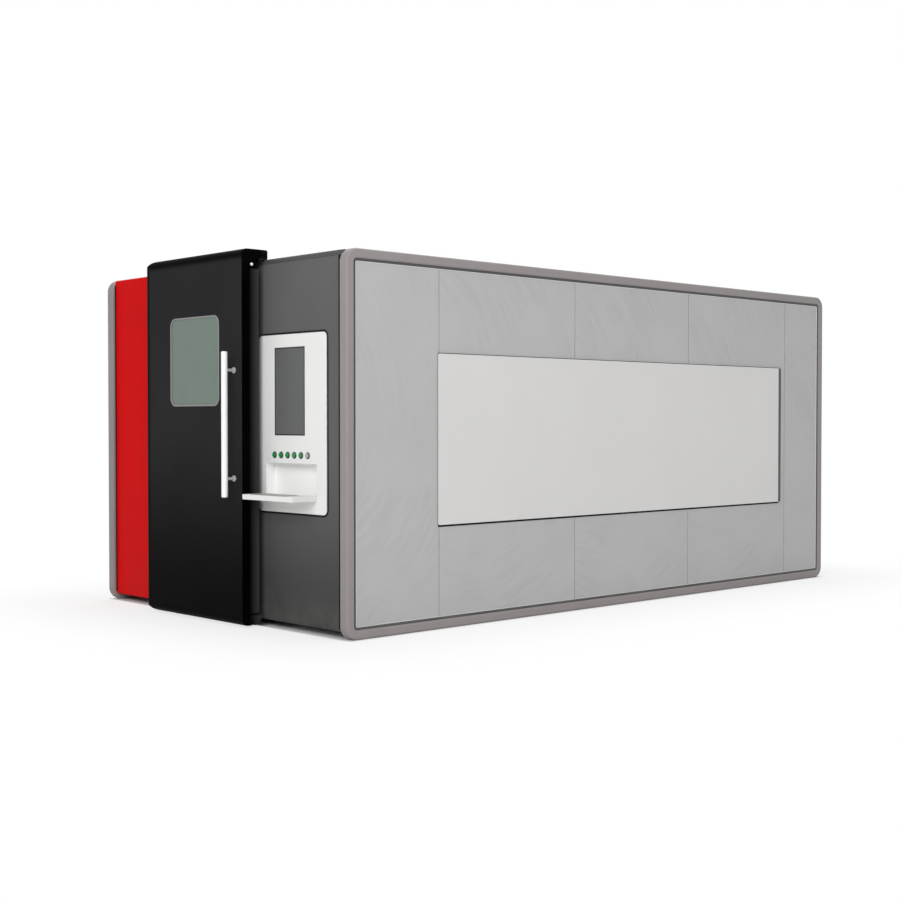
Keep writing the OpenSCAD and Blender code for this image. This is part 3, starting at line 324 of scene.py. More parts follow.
def painted(name, rgb, rough=0.5, tone=0.04, peel=0.00025, grain=520.0, arcs=0.0, dust=(0.35, 0.2),
            rub=None, rub_rgb=None, coat=0.0, specular=0.3, lower=None, band=None):
    """Coated sheet metal: cloudy tone, orange peel, dust, and rubbing along the edges of a box.

    It can darken to a lower colour towards the floor as painted shade, and have another one in a band between
    two places (x, z)."""
    made, tree, skin = new_finish(name)
    base = linear(rgb)
    film = use(tree, COAT, {"Grain": grain})
    colour = toned(tree, film["Tone"], base, tone)
    if lower or band:
        x, _, z = split(tree, own_coords(tree))
    # Painted shade: the lower colour darkens the surface towards the floor
    if lower:
        colour = mix(tree, remap(tree, z, *WALL_SHADE_FADE, 1.0, 0.0, "SMOOTHSTEP"), colour, linear(lower))
    if band:
        low, high, other = band
        colour = mix(tree, between(tree, (x, z), low, high), colour, linear(other))
    if arcs:
        strokes = use(tree, ARCS)["Tone"]
        colour = mix(tree, calc(tree, "MULTIPLY", strokes, arcs), colour, shade(base, 0.6))
    roughness = remap(tree, film["Gloss"], 0.3, 0.7, rough - 0.05, rough + 0.06)
    if rub:
        worn = use(tree, RUB, {"Low": tuple(rub[0]), "High": tuple(rub[1])})["Mask"]
        colour = mix(tree, calc(tree, "MULTIPLY", worn, 0.55), colour, linear(rub_rgb))
    colour, settled = dusted(tree, colour, dust)
    tree.links.new(colour, skin.inputs["Base Color"])
    dusty = calc(tree, "ADD", roughness, calc(tree, "MULTIPLY", settled, 0.25), True)
    tree.links.new(dusty, skin.inputs["Roughness"])
    bumped(tree, skin, 0.35, peel, film["Height"])
    skin.inputs["Coat Weight"].default_value = coat
    skin.inputs["Coat Roughness"].default_value = 0.2
    skin.inputs["Specular IOR Level"].default_value = specular
    return made


def door_skin(name, lit_top_rgb, shaded_foot_rgb, tone_and_edge_shade_rgb, flap_shadow_rgb):
    """Satin black door: a charcoal face with painted shade and reflection that darken it towards the floor,
    and painted shade in black on its rounded edges, sides and back.

    The flap that fills the gap to the wall, where there is only shade, carries a painted shadow: black at the
    leaf, lighter towards the wall."""
    made, tree, skin = new_finish(name)
    x, y, z = split(tree, own_coords(tree))
    film = use(tree, COAT, {"Grain": 640.0, "Cloud": 1.4})
    # Painted shade and reflection: the face runs from a lighter top to a dark foot
    face = mix(tree, remap(tree, z, *DOOR_SHADE_FADE, 1.0, 0.0, "SMOOTHSTEP"), linear(lit_top_rgb), linear(shaded_foot_rgb))
    face = mix(tree, calc(tree, "MULTIPLY", film["Tone"], 0.16), face, linear(tone_and_edge_shade_rgb))
    # Painted shade: black on the rounded edges, the sides and the back, away from the flat front
    rim = calc(tree, "MINIMUM", calc(tree, "SUBTRACT", z, LEAF[0].z), calc(tree, "SUBTRACT", LEAF[1].z, z))
    rim = calc(tree, "MINIMUM", rim, calc(tree, "SUBTRACT", LEAF[1].y, y))
    inner = remap(tree, rim, LEAF_EDGE * 0.9, LEAF_EDGE * 1.8, 0.0, 1.0, "SMOOTHSTEP")
    front = calc(tree, "LESS_THAN", x, LEAF[0].x + 3 * CLEAR)
    # Painted shadow on the gap flap: black at the leaf, lighter towards the wall
    below = calc(tree, "LESS_THAN", z, HOOD[0].z - BRACKET_DROP)
    flap_shadow = calc(tree, "MULTIPLY", remap(tree, x, HOOD[0].x, HOOD[0].x + FLAP_SHADOW_DEPTH), below)
    edge = mix(tree, flap_shadow, linear(tone_and_edge_shade_rgb), linear(flap_shadow_rgb))
    colour = mix(tree, calc(tree, "MULTIPLY", inner, front), edge, face)
    worn = use(tree, RUB, {"Low": tuple(LEAF[0]), "High": tuple(LEAF[1]), "Width": 0.008})["Mask"]
    colour = mix(tree, calc(tree, "MULTIPLY", worn, 0.12), colour, linear((58, 58, 60)))
    colour, _ = dusted(tree, colour, (0.06, 0.004))
    tree.links.new(colour, skin.inputs["Base Color"])
    tree.links.new(remap(tree, film["Gloss"], 0.3, 0.7, 0.36, 0.5), skin.inputs["Roughness"])
    bumped(tree, skin, 0.3, 0.0002, film["Height"])
    skin.inputs["Specular IOR Level"].default_value = 0.015
    return made


def metal(name, rgb, rough, squeeze, scale, tone, stain=None):
    """Bare or plated metal with working lines, and stains where it gets hot or oily."""
    made, tree, skin = new_finish(name)
    lines = use(tree, BRUSHED, {"Squeeze": squeeze, "Scale": scale})
    colour = toned(tree, lines["Tone"], linear(rgb), tone)
    if stain:
        spots = remap(tree, noise(tree, own_coords(tree), 9.0, 6.0, 0.7, 0.6), 0.45, 0.68)
        colour = mix(tree, spots, colour, linear(stain))
    colour, settled = dusted(tree, colour, (0.3, 0.1))
    tree.links.new(colour, skin.inputs["Base Color"])
    tree.links.new(remap(tree, lines["Tone"], 0.0, 1.0, rough - 0.06, rough + 0.1), skin.inputs["Roughness"])
    tree.links.new(remap(tree, settled, 0.0, 1.0, 1.0, 0.2), skin.inputs["Metallic"])
    bumped(tree, skin, 0.25, 0.0002, lines["Height"])
    return made


def moulded(name, rgb, rough, tone=0.05, coat=0.0, transmission=0.0, specular=0.4):
    """Moulded plastic, rubber or glass with a fine grain and faint smears."""
    made, tree, skin = new_finish(name)
    film = use(tree, COAT, {"Grain": 900.0, "Cloud": 6.0})
    smear = noise(tree, own_coords(tree), 3.2, 4.0, 0.6, 1.5)
    tree.links.new(toned(tree, film["Tone"], linear(rgb), tone), skin.inputs["Base Color"])
    tree.links.new(remap(tree, smear, 0.35, 0.7, rough - 0.06, rough + 0.06), skin.inputs["Roughness"])
    bumped(tree, skin, 0.15, 0.0001, film["Height"])
    skin.inputs["Coat Weight"].default_value = coat
    skin.inputs["Coat Roughness"].default_value = 0.05
    skin.inputs["Transmission Weight"].default_value = transmission
    skin.inputs["Specular IOR Level"].default_value = specular
    return made


FINISHES = {
    "frame_paint": painted("mauve_frame_coat", (145, 139, 139), 0.42, tone=0.03, specular=0.15),
    "panel_grey": painted("grey_panel_coat", (179, 179, 179), 0.46, tone=0.02, arcs=0.2, dust=(0.14, 0.08)),
    # Painted shade: a dark band on each cover panel's far end, where its shadow falls
    "cover_white": painted("white_cover_coat", (211, 210, 209), 0.45, tone=0.012, arcs=0.02,
                           band=((COVER[1].x - COVER_SHADE_STRIP, COVER[0].z - CLEAR),
                                 (COVER[1].x + CLEAR, COVER[1].z + CLEAR), (76, 75, 76))),
    "inner_dark": painted("dark_frame_coat", (72, 72, 74), 0.5),
    # Painted shade: the dark wall darkens towards the floor
    "wall_dark": painted("dark_wall_coat", (96, 96, 97), 0.46, tone=0.04, lower=(68, 68, 68), specular=0.05),
    "wall_red": painted("red_wall_coat", (213, 12, 15), 0.42, tone=0.05, specular=0.03, dust=(0.3, 0.02)),
    # Painted shade and reflection on the door: lighter top, dark foot, black rounded edges and sides, and a
    # shadow on its gap flap
    "door_black": door_skin("black_door_coat", (42, 42, 43), (6, 6, 6), (2, 2, 2), (60, 60, 61)),
    "window_glass": moulded("green_laser_glass", (109, 128, 116), 0.12, tone=0.03, transmission=0.15),
    "seal_rubber": moulded("seal_rubber", (14, 14, 14), 0.7, specular=0.15),
    "handle_metal": painted("satin_handle", (243, 243, 242), 0.3, tone=0.01, peel=0.0001, dust=(0.1, 0.0),
                            coat=0.2, band=((HANDLE[0].x + HANDLE_BAR, 0.0), (HANDLE[1].x + CLEAR, ROOF[1].z),
                                            (178, 179, 180))),
    "plated_steel": metal("zinc_plate", (178, 180, 182), 0.36, (6.0, 6.0, 6.0), 9.0, 0.12),
    # Painted light: the band inside the console's recess is whiter to take out the recess's shade
    "console_white": painted("white_console_coat", (232, 232, 231), 0.4, tone=0.012, rub=CONSOLE,
                             rub_rgb=(205, 204, 202), specular=0.2,
                             band=((CONSOLE[0].x + 6 * CLEAR, 0.0), (CONSOLE[1].x + 0.2, ROOF[1].z),
                                   (252, 252, 251))),
    "screen_black": moulded("screen_glass", (98, 99, 99), 0.34, tone=0.03, coat=0.05, specular=0.1),
    "collar_metal": metal("collar_ring", (66, 70, 68), 0.34, (40.0, 1.0, 1.0), 30.0, 0.08),
    "button_green": moulded("green_button", (8, 128, 60), 0.28, coat=0.2),
    "button_grey": moulded("grey_button", (160, 156, 151), 0.3, coat=0.2),
    "cabinet_grey": painted("cabinet_coat", (172, 174, 174), 0.5),
    "source_dark": painted("source_coat", (52, 53, 56), 0.45),
    "bed_paint": painted("bed_enamel", (112, 118, 124), 0.4, tone=0.07, dust=(0.6, 0.3)),
    "ground_steel": metal("ground_steel", (196, 198, 200), 0.22, (1.0, 40.0, 40.0), 12.0, 0.08),
    "gear_steel": metal("oiled_gear_steel", (142, 143, 146), 0.28, (8.0, 8.0, 30.0), 12.0, 0.14,
                        stain=(70, 62, 50)),
    "slat_steel": metal("scorched_slat_steel", (120, 116, 112), 0.5, (1.0, 3.0, 3.0), 6.0, 0.2,
                        stain=(64, 52, 44)),
    "duct_zinc": metal("galvanised_duct", (176, 180, 184), 0.4, (2.0, 2.0, 2.0), 22.0, 0.16),
    "lift_grey": painted("loading_door_coat", (150, 151, 153), 0.48),
    "beam_cast": metal("milled_beam", (184, 186, 188), 0.34, (1.0, 2.0, 50.0), 14.0, 0.06),
    "motor_black": painted("motor_coat", (30, 30, 32), 0.38),
    "head_white": painted("head_coat", (214, 215, 216), 0.32, coat=0.3),
    "nozzle_copper": metal("turned_copper", (196, 118, 74), 0.24, (1.0, 1.0, 90.0), 20.0, 0.1),
}

for name, thing in NODES.items():
    for holder in thing.material_slots:
        holder.material = FINISHES[SLOT_OF[name]]


# Mesh building

SMOOTH_UNDER = math.radians(40)
WELD = 1e-6


def piece(name, mesh, body, slot):
    """A finished mesh as a named piece that rides on a body."""
    thing = bpy.data.objects.new(name, mesh)
    bpy.context.scene.collection.objects.link(thing)
    mesh.name = name
    mesh.materials.clear()
    mesh.materials.append(FINISHES[slot])
    mesh.polygons.foreach_set("use_smooth", [True] * len(mesh.polygons))
    mesh.set_sharp_from_angle(angle=SMOOTH_UNDER)
    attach(thing, body)
    return thing


def closed_mesh(*parts):
    """One mesh of closed shells, each given as points and faces, with its faces turned outwards."""
    shell = bmesh.new()
    for points, faces in parts:
        corners = [shell.verts.new(p) for p in points]
        for face in faces:
            shell.faces.new([corners[i] for i in face])
    bmesh.ops.remove_doubles(shell, verts=shell.verts, dist=WELD)
    bmesh.ops.delete(shell, geom=[edge for edge in shell.edges if not edge.link_faces], context="EDGES")
    bmesh.ops.recalc_face_normals(shell, faces=shell.faces)
    mesh = bpy.data.meshes.new("shells")
    shell.to_mesh(mesh)
    shell.free()
    return mesh


def on_front(x, y, z):
    """Flat places on a face towards the door end; forward grows out of it."""
    return lambda u, v, forward: (x - forward, y + u, z + v)


def on_side(x, y, z, outwards):
    """Flat places on a long side; outwards is -1 on the right and 1 on the left."""
    return lambda u, v, forward: (x + u, y + outwards * forward, z + v)


def on_rear(x, y, z):
    return lambda u, v, forward: (x + forward, y + u, z + v)


def rounded_loop(width, height, radius, steps=6):
    """Rectangle about the origin with round corners, anticlockwise."""
    points = []
    for turn, (side, rise) in enumerate(((1, 1), (-1, 1), (-1, -1), (1, -1))):
        for k in range(steps + 1):
            angle = math.radians(90 * (turn + k / steps))
            points.append((side * (width / 2 - radius) + radius * math.cos(angle),
                           rise * (height / 2 - radius) + radius * math.sin(angle)))
    return points


def tube_faces(rings, count, around=True):
    """Faces between successive rings of points, closed round the last to the first where it goes around."""
    faces = []
    for i in range(rings if around else rings - 1):
        j = (i + 1) % rings
        for k in range(count):
            n = (k + 1) % count
            faces.append((i * count + k, i * count + n, j * count + n, j * count + k))
    return faces


def swept_ring(width, height, radius, profile, stand, flank=1.0):
    """A closed profile of outward and forward steps, carried round a rounded rectangle.

    The flank is the share of the outward steps on the upright sides."""
    points = []
    for outward, forward in profile:
        corner = max(0.0005, radius + outward)
        for u, v in rounded_loop(width + 2 * outward * flank, height + 2 * outward, corner):
            points.append(stand(u, v, forward))
    count = len(points) // len(profile)
    return points, tube_faces(len(profile), count)


def strip(profile, start, end, stand):
    """A closed profile carried straight from start to end; stand maps along, across and forward."""
    count = len(profile)
    points = [stand(along, across, forward) for along in (start, end) for across, forward in profile]
    faces = tube_faces(2, count, around=False)
    return points, faces + [tuple(range(count))[::-1], tuple(range(count, 2 * count))]


def lathe(profile, stand, segments=48):
    """A profile of radius and forward steps turned about the forward axis; ends on the axis are closed."""
    points = []
    for radius, forward in profile:
        for k in range(segments):
            angle = 2 * math.pi * k / segments
            points.append(stand(radius * math.cos(angle), radius * math.sin(angle), forward))
    return points, tube_faces(len(profile), segments)


def bead(low, high, rise, soft=0.3):
    """Profile of a rubber bead with a rounded crown, standing on the face between low and high."""
    width = high - low
    crown = [(high - width * soft * (1 - math.cos(math.radians(a))),
              rise * (1 - soft) + rise * soft * math.sin(math.radians(a))) for a in (0, 30, 60, 90)]
    back = [(low + high - across, forward) for across, forward in reversed(crown)]
    return [(low, 0.0), (high, 0.0)] + crown + back


# Geometry trees for what repeats

def geometry_tree(name, inputs):
    tree = bpy.data.node_groups.new(name, "GeometryNodeTree")
    tree.interface.new_socket("Geometry", in_out="INPUT", socket_type="NodeSocketGeometry")
    for label, kind, value in inputs:
        socket = tree.interface.new_socket(label, in_out="INPUT", socket_type="NodeSocket" + kind)
        if value is not None:
            socket.default_value = value
    tree.interface.new_socket("Geometry", in_out="OUTPUT", socket_type="NodeSocketGeometry")
    return tree, tree.nodes.new("NodeGroupInput").outputs, tree.nodes.new("NodeGroupOutput").inputs


def extrude(tree, mesh, offset, top=None):
    inputs = {"Mesh": mesh, "Offset Scale": offset}
    if top is not None:
        inputs["Selection"] = top
    made = place(tree, "GeometryNodeExtrudeMesh", inputs, mode="FACES").outputs
    return made["Mesh"], made["Top"]


def narrow(tree, mesh, top, share):
    inputs = {"Geometry": mesh, "Selection": top, "Scale": share}
    return place(tree, "GeometryNodeScaleElements", inputs, domain="FACE").outputs[0]


def sealed(tree, mesh, underside):
    """Closes a shape from below with its starting face, turned over."""
    floor = place(tree, "GeometryNodeFlipFaces", {"Mesh": underside}).outputs[0]
    both = tree.nodes.new("GeometryNodeJoinGeometry")
    tree.links.new(mesh, both.inputs[0])
    tree.links.new(floor, both.inputs[0])
    inputs = {"Geometry": both.outputs[0], "Distance": WELD}
    return place(tree, "GeometryNodeMergeByDistance", inputs).outputs[0]


def named(tree, label, kind):
    return place(tree, "GeometryNodeInputNamedAttribute", {"Name": label}, data_type=kind).outputs["Attribute"]


def faced(tree):
    """The turn that brings a shape round to its place's facing."""
    facing = named(tree, "facing", "FLOAT_VECTOR")
    return place(tree, "FunctionNodeAlignRotationToVector", {"Vector": facing}, axis="Z").outputs[0]


def set_out(tree, out, places, shape, finish, **turns):
    """Puts the shape on every place, makes it real and gives it its finish."""
    inputs = {"Points": places, "Instance": shape, **turns}
    spread = place(tree, "GeometryNodeInstanceOnPoints", inputs).outputs[0]
    real = place(tree, "GeometryNodeRealizeInstances", {"Geometry": spread}).outputs[0]
    done = place(tree, "GeometryNodeSetMaterial", {"Geometry": real, "Material": finish}).outputs[0]
    tree.links.new(done, out["Geometry"])


def screw_tree():
    """Cap screws with a chamfered head and a sunk socket, each turned to its place's facing."""
    tree, given, out = geometry_tree("cap_screws", [
        ("Head Radius", "Float", 0.007), ("Head Height", "Float", 0.005), ("Chamfer", "Float", 0.001),
        ("Socket Share", "Float", 0.5), ("Socket Depth", "Float", 0.003), ("Sides", "Int", 16),
        ("Finish", "Material", None),
    ])
    disc = place(tree, "GeometryNodeMeshCircle", {"Vertices": given["Sides"], "Radius": given["Head Radius"]},
                 fill_type="NGON").outputs[0]
    body, top = extrude(tree, disc, calc(tree, "SUBTRACT", given["Head Height"], given["Chamfer"]))
    body, top = extrude(tree, body, given["Chamfer"], top)
    body = narrow(tree, body, top, 0.84)
    body, top = extrude(tree, body, 0.0, top)
    body = narrow(tree, body, top, given["Socket Share"])
    body, top = extrude(tree, body, calc(tree, "MULTIPLY", given["Socket Depth"], -1.0), top)
    set_out(tree, out, given["Geometry"], sealed(tree, body, disc), given["Finish"], Rotation=faced(tree))
    return tree


def key_tree():
    """Key caps with drawn-in tops, each as wide as its place says."""
    tree, given, out = geometry_tree("key_caps", [
        ("Key", "Float", 0.0165), ("Skirt", "Float", 0.0022), ("Rise", "Float", 0.0016),
        ("Top Share", "Float", 0.8), ("Finish", "Material", None),
    ])
    square = place(tree, "GeometryNodeMeshGrid", {"Size X": given["Key"], "Size Y": given["Key"],
                                                  "Vertices X": 2, "Vertices Y": 2}).outputs[0]
    body, top = extrude(tree, square, given["Skirt"])
    body, top = extrude(tree, body, given["Rise"], top)
    body = narrow(tree, body, top, given["Top Share"])
    widths = joined(tree, 1.0, named(tree, "width", "FLOAT"), 1.0)
    set_out(tree, out, given["Geometry"], sealed(tree, body, square), given["Finish"], Scale=widths)
    return tree


def bristle_tree():
    """Tapered bristles along a line, leaning a little each its own way."""
    tree, given, out = geometry_tree("brush_bristles", [
        ("Length", "Float", 0.03), ("Thickness", "Float", 0.0012), ("Lean", "Float", 0.08),
        ("Seed", "Int", 4), ("Finish", "Material", None),
    ])
    hair = place(tree, "GeometryNodeMeshCone", {
        "Vertices": 5, "Radius Bottom": given["Thickness"], "Depth": given["Length"],
        "Radius Top": calc(tree, "MULTIPLY", given["Thickness"], 0.45),
    }, fill_type="NGON").outputs[0]
    other_way = calc(tree, "MULTIPLY", given["Lean"], -1.0)
    lean = place(tree, "FunctionNodeRandomValue", {
        0: joined(tree, other_way, other_way, 0.0), 1: joined(tree, given["Lean"], given["Lean"], 3.0),
        "Seed": given["Seed"],
    }, data_type="FLOAT_VECTOR").outputs[0]
    swung = place(tree, "FunctionNodeRotateRotation", {"Rotation": faced(tree), "Rotate By": lean},
                  rotation_space="LOCAL").outputs[0]
    set_out(tree, out, given["Geometry"], hair, given["Finish"], Rotation=swung)
    return tree


SCREWS = screw_tree()
KEYS = key_tree()
BRISTLES = bristle_tree()


def grown(tree, places, values, facing=None, width=None):
    """Runs a tree on a set of places and returns the plain mesh that it makes."""
    seeds = bpy.data.meshes.new("places")
    seeds.from_pydata(places, [], [])
    if facing:
        told = seeds.attributes.new("facing", "FLOAT_VECTOR", "POINT")
        told.data.foreach_set("vector", [c for f in facing for c in f])
    if width:
        told = seeds.attributes.new("width", "FLOAT", "POINT")
        told.data.foreach_set("value", width)
    bed = bpy.data.objects.new("places", seeds)
    bpy.context.scene.collection.objects.link(bed)
    grow = bed.modifiers.new("grow", "NODES")
    grow.node_group = tree
    for item in tree.interface.items_tree:
        if item.in_out == "INPUT" and item.name in values:
            grow[item.identifier] = values[item.name]
    ready = bed.evaluated_get(bpy.context.evaluated_depsgraph_get())
    mesh = bpy.data.meshes.new_from_object(ready)
    bed.modifiers.remove(grow)
    bpy.data.objects.remove(bed)
    return mesh


def steps(start, end, pitch):
    """Even places from start to end, about a pitch apart."""
    count = max(1, round((end - start) / pitch))
    return [start + (end - start) * k / count for k in range(count + 1)]


def screws(name, body, sets, slot="plated_steel"):
    """All of one body's screws of a size as one piece; each set is a facing and its places."""
    places = [p for facing, group in sets for p in group]
    facing = [facing for facing, group in sets for p in group]
    values = {"Finish": FINISHES[slot]}
    piece(name, grown(SCREWS, places, values, facing=facing), body, slot)


RIGHT, BACK, FRONT, UP, DOWN = (0, -1, 0), (1, 0, 0), (-1, 0, 0), (0, 0, 1), (0, 0, -1)


# Rubber and trim of the long sides

def side_trim():
    """Black gaskets round the panels, pale beads that stand in for a highlight on the panels' edges, rubber
    seals over and under the cover panels that also stand in for the cover's shadow lines, and a dark strip at
    its far end that stands in for its shade.
    """
    for side, node, outwards in (("right", "right_side_frame", -1), ("left", "left_side_frame", 1)):
        low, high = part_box(node)
        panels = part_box(side + "_panels")
        face = panels[0].y if outwards < 0 else panels[1].y
        width = high.x - low.x - 2 * FRAME_FACE
        height = high.z - low.z - 2 * FRAME_FACE
        stand = on_side((low.x + high.x) / 2, face, (low.z + high.z) / 2, outwards)
        gasket = [(-0.0056, -0.012), (-0.0004, -0.012), (-0.0004, 0.0), (0.0004, 0.004), (-0.0010, 0.0062),
                  (-0.0045, 0.0070), (-0.0090, 0.0066), (-0.0125, 0.0050), (-0.0135, 0.0028),
                  (-0.0135, 0.0001), (-0.0056, 0.0001)]
        corner = FRAME_CORNER - FRAME_FACE
        piece(f"panel_gasket_{side}", closed_mesh(swept_ring(width, height, corner, gasket, stand)),
              "enclosure", "inner_dark")
        # Painted highlight: a pale bead stands for the light on the panels' folded edges
        pale = bead(-0.0190, -0.0140, 0.0045)
        piece(f"panel_highlight_bead_{side}", closed_mesh(swept_ring(width, height, corner, pale, stand)),
              "enclosure", "cover_white")

        along = on_side(0.0, face, 0.0, outwards)
        ends = (COVER[0].x + 0.004, COVER[1].x - 0.004)
        # Rubber seals that also stand in for the shadow lines under and over the proud cover panels
        under = [(across + COVER[0].z, forward) for across, forward in bead(-0.0125, 0.006, 0.0036)]
        over = [(across + COVER[1].z, forward) for across, forward in bead(-0.006, 0.0042, 0.0030)]
        piece(f"cover_seals_{side}", closed_mesh(strip(under, *ends, along), strip(over, *ends, along)),
              "enclosure", "seal_rubber")
        # Painted shade: a dark strip at the cover panels' far end stands in for their shadow
        shade_stop = strip(bead(0.0004, 0.0165, 0.0110), COVER[0].z + 0.002, COVER[1].z - 0.002,
                     lambda z, across, forward: (COVER[1].x + across, face + outwards * forward, z))
        piece(f"cover_shade_stop_{side}", closed_mesh(shade_stop), "enclosure", "inner_dark")


def wall_gaskets():
    """Black joints where the end walls meet the side frames, standing up to the frame at the console."""
    foot, head = WALL[0].z + 0.02, WALL[1].z - 0.035
    tall, flat = bead(0.0005, 0.0090, 0.0215), bead(0.0005, 0.0080, 0.0060)
    parts = []
    for inwards, joint in ((1, tall), (-1, flat)):
        parts.append(strip(joint, foot, head, lambda z, across, forward: (
            WALL[0].x - forward, inwards * (WALL[0].y + across), z)))
        parts.append(strip(flat, foot, head, lambda z, across, forward: (
            REAR[1].x + forward, inwards * (WALL[0].y + across), z)))
    piece("wall_gaskets", closed_mesh(*parts), "enclosure", "seal_rubber")


def wall_top_shade_cap():
    """Dark strip that wraps the console wall's rounded top edge and stands in for the shade on that rounding.
    """
    bend = 0.016
    outer = [(-bend + 0.0182 * math.cos(math.radians(a)), -bend + 0.0182 * math.sin(math.radians(a)))
             for a in (0, 15, 30, 45, 57)]
    inner = [(-bend + 0.0152 * math.cos(math.radians(a)), -bend + 0.0152 * math.sin(math.radians(a)))
             for a in (57, 45, 30, 15, 0)]
    trim = [(0.0, -0.031), (0.0022, -0.029)] + outer + inner + [(-0.0008, -0.031)]
    cap = strip(trim, WALL[0].y + 0.010, WALL[1].y,
                lambda y, forward, z: (WALL[0].x - forward, y, WALL[1].z + z))
    piece("wall_top_shade_cap", closed_mesh(cap), "enclosure", "inner_dark")


# Console

def console_trim():
    """Gasket round the console's flange and the screen's bezel."""
    middle, size = middle_and_size(CONSOLE)
    ring = swept_ring(size[1], size[2], CONSOLE_CORNER, bead(0.0002, 0.0115, 0.0065),
                      on_front(WALL[0].x, middle[1], middle[2]), flank=0.4)
    piece("console_gasket", closed_mesh(ring), "enclosure", "seal_rubber")
    middle, size = middle_and_size(SCREEN)
    rim = [(-0.0065, 0.0002), (-0.0006, 0.0002), (-0.0006, 0.0014), (-0.0014, 0.0020), (-0.0050, 0.0020),
           (-0.0065, 0.0009)]
    ring = swept_ring(size[1], size[2], 0.003, rim, on_front(SCREEN[0].x, middle[1], middle[2]))
    piece("screen_bezel", closed_mesh(ring), "enclosure", "motor_black")


def keyboard():
    """Flat keyboard with five rows of keys and a touch pad, lying in the tray's well."""
    floor = TRAY[1].z - 0.010
    left, right = TRAY[0].y + 0.012, TRAY[1].y - 0.012
    front, back = TRAY[0].x + 0.012, TRAY[0].x + 0.160
    middle = ((front + back) / 2, (left + right) / 2)
    size = (back - front, right - left)
    thickness = 0.0072
    deck = [(0.0, 0.0003), (0.0, 0.0050), (-0.0015, 0.0066), (-0.0040, thickness)]
    points = []
    for outward, rise in deck:
        for u, v in rounded_loop(size[0] + 2 * outward, size[1] + 2 * outward, 0.008 + outward):
            points.append((middle[0] + u, middle[1] + v, floor + rise))
    count = len(points) // len(deck)
    faces = tube_faces(len(deck), count, around=False)
    faces += [tuple(range(count))[::-1], tuple(range(len(points) - count, len(points)))]
    pad = swept_ring(0.062, 0.078, 0.005, [(-0.002, 0.0), (0.0, 0.0), (0.0, 0.0008), (-0.002, 0.0008)],
                     lambda u, v, rise: (middle[0] + u, left + 0.062 + v, floor + thickness + rise))
    piece("keyboard_deck", closed_mesh((points, faces), pad), "tray", "console_white")

    pitch, row_pitch = 0.0202, 0.0236
    rows = [
        [1.0] * 16,
        [1.0] * 13 + [1.85, 1.0],
        [1.5] + [1.0] * 12 + [1.35, 1.0],
        [1.75] + [1.0] * 11 + [2.1, 1.0],
        [1.25, 1.25, 1.25, 6.0, 1.25, 1.25, 1.0, 1.0, 1.0],
    ]
    places, widths = [], []
    for number, row in enumerate(rows):
        x = back - 0.024 - number * row_pitch
        y = right - 0.016
        scale = (right - left - 0.145) / (sum(row) * pitch)
        for width in row:
            reach = width * pitch * scale
            places.append((x, y - reach / 2, floor + thickness))
            widths.append(reach / pitch + 0.16 * (reach / pitch - 1))
            y -= reach
    values = {"Key": 0.0172, "Finish": FINISHES["button_grey"]}
    piece("keyboard_keys", grown(KEYS, places, values, width=widths), "tray", "button_grey")


# Door

def window_trim():
    """Pale clamping frame over the window's seal."""
    middle, size = middle_and_size(SEAL)
    glass = SEAL[0].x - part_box("door_window")[0].x + 0.0004
    clamp = [(-0.0108, glass), (-0.0094, glass), (-0.0092, 0.0001), (-0.0012, 0.0001), (-0.0012, 0.0012),
             (-0.0022, 0.0022), (-0.0092, 0.0022), (-0.0104, 0.0014), (-0.0108, 0.0004)]
    ring = swept_ring(size[1], size[2], WINDOW_CORNER, clamp, on_front(SEAL[0].x, middle[1], middle[2]))
    piece("window_trim", closed_mesh(ring), "door", "frame_paint")


def door_seals():
    """What closes the gap to the wall: a brush and a lip under the hood, and along the near edge a dark flap
    that stands in for the shade in the gap and carries a painted shadow.
    """
    holder_x = WALL[0].x - 0.028
    hood_from, hood_to = HOOD[0].y + 0.0005, HOOD[1].y - 0.012
    grip = [(-0.004, 0.0), (0.004, 0.0), (0.004, 0.009), (0.0025, 0.011), (-0.0025, 0.011), (-0.004, 0.009)]
    holder = strip(grip, hood_from, hood_to,
                   lambda y, across, drop: (holder_x + across, y, HOOD[0].z - drop))
    piece("brush_holder", closed_mesh(holder), "door", "motor_black")
    places = [(holder_x, y, HOOD[0].z - 0.008) for y in steps(hood_from + 0.002, hood_to, 0.0022)]
    values = {"Length": 0.030, "Finish": FINISHES["seal_rubber"], "Thickness": 0.0014}
    hairs = grown(BRISTLES, places, values, facing=[DOWN] * len(places))
    piece("hood_brush", hairs, "door", "seal_rubber")

    wall_gap = [(-0.0015, 0.0), (0.054, 0.0), (0.0566, 0.0016), (0.0576, 0.0034), (0.0566, 0.0050),
                (0.054, 0.0056), (-0.0015, 0.0056)]
    lip = strip(wall_gap, HOOD[0].y, HOOD[1].y - 0.012,
                lambda y, across, drop: (holder_x - 0.012 + across, y, HOOD[0].z - drop))
    piece("hood_lip", closed_mesh(lip), "door", "seal_rubber")
    # This flap stands where the gap shows only shade; its finish paints a shadow on it
    sheet = [(-0.004, 0.0), (0.062, 0.0), (0.066, -0.002), (0.070, -0.0015), (0.072, 0.002), (0.070, 0.0055),
             (0.066, 0.006), (0.062, 0.004), (-0.004, 0.004)]
    flap = strip(sheet, LEAF[0].z + 0.075, HOOD[0].z - 0.0655,
                 lambda z, out, across: (HOOD[0].x + out, LEAF[0].y + 0.004 + across, z))
    piece("leaf_shadow_flap", closed_mesh(flap), "door", "door_black")


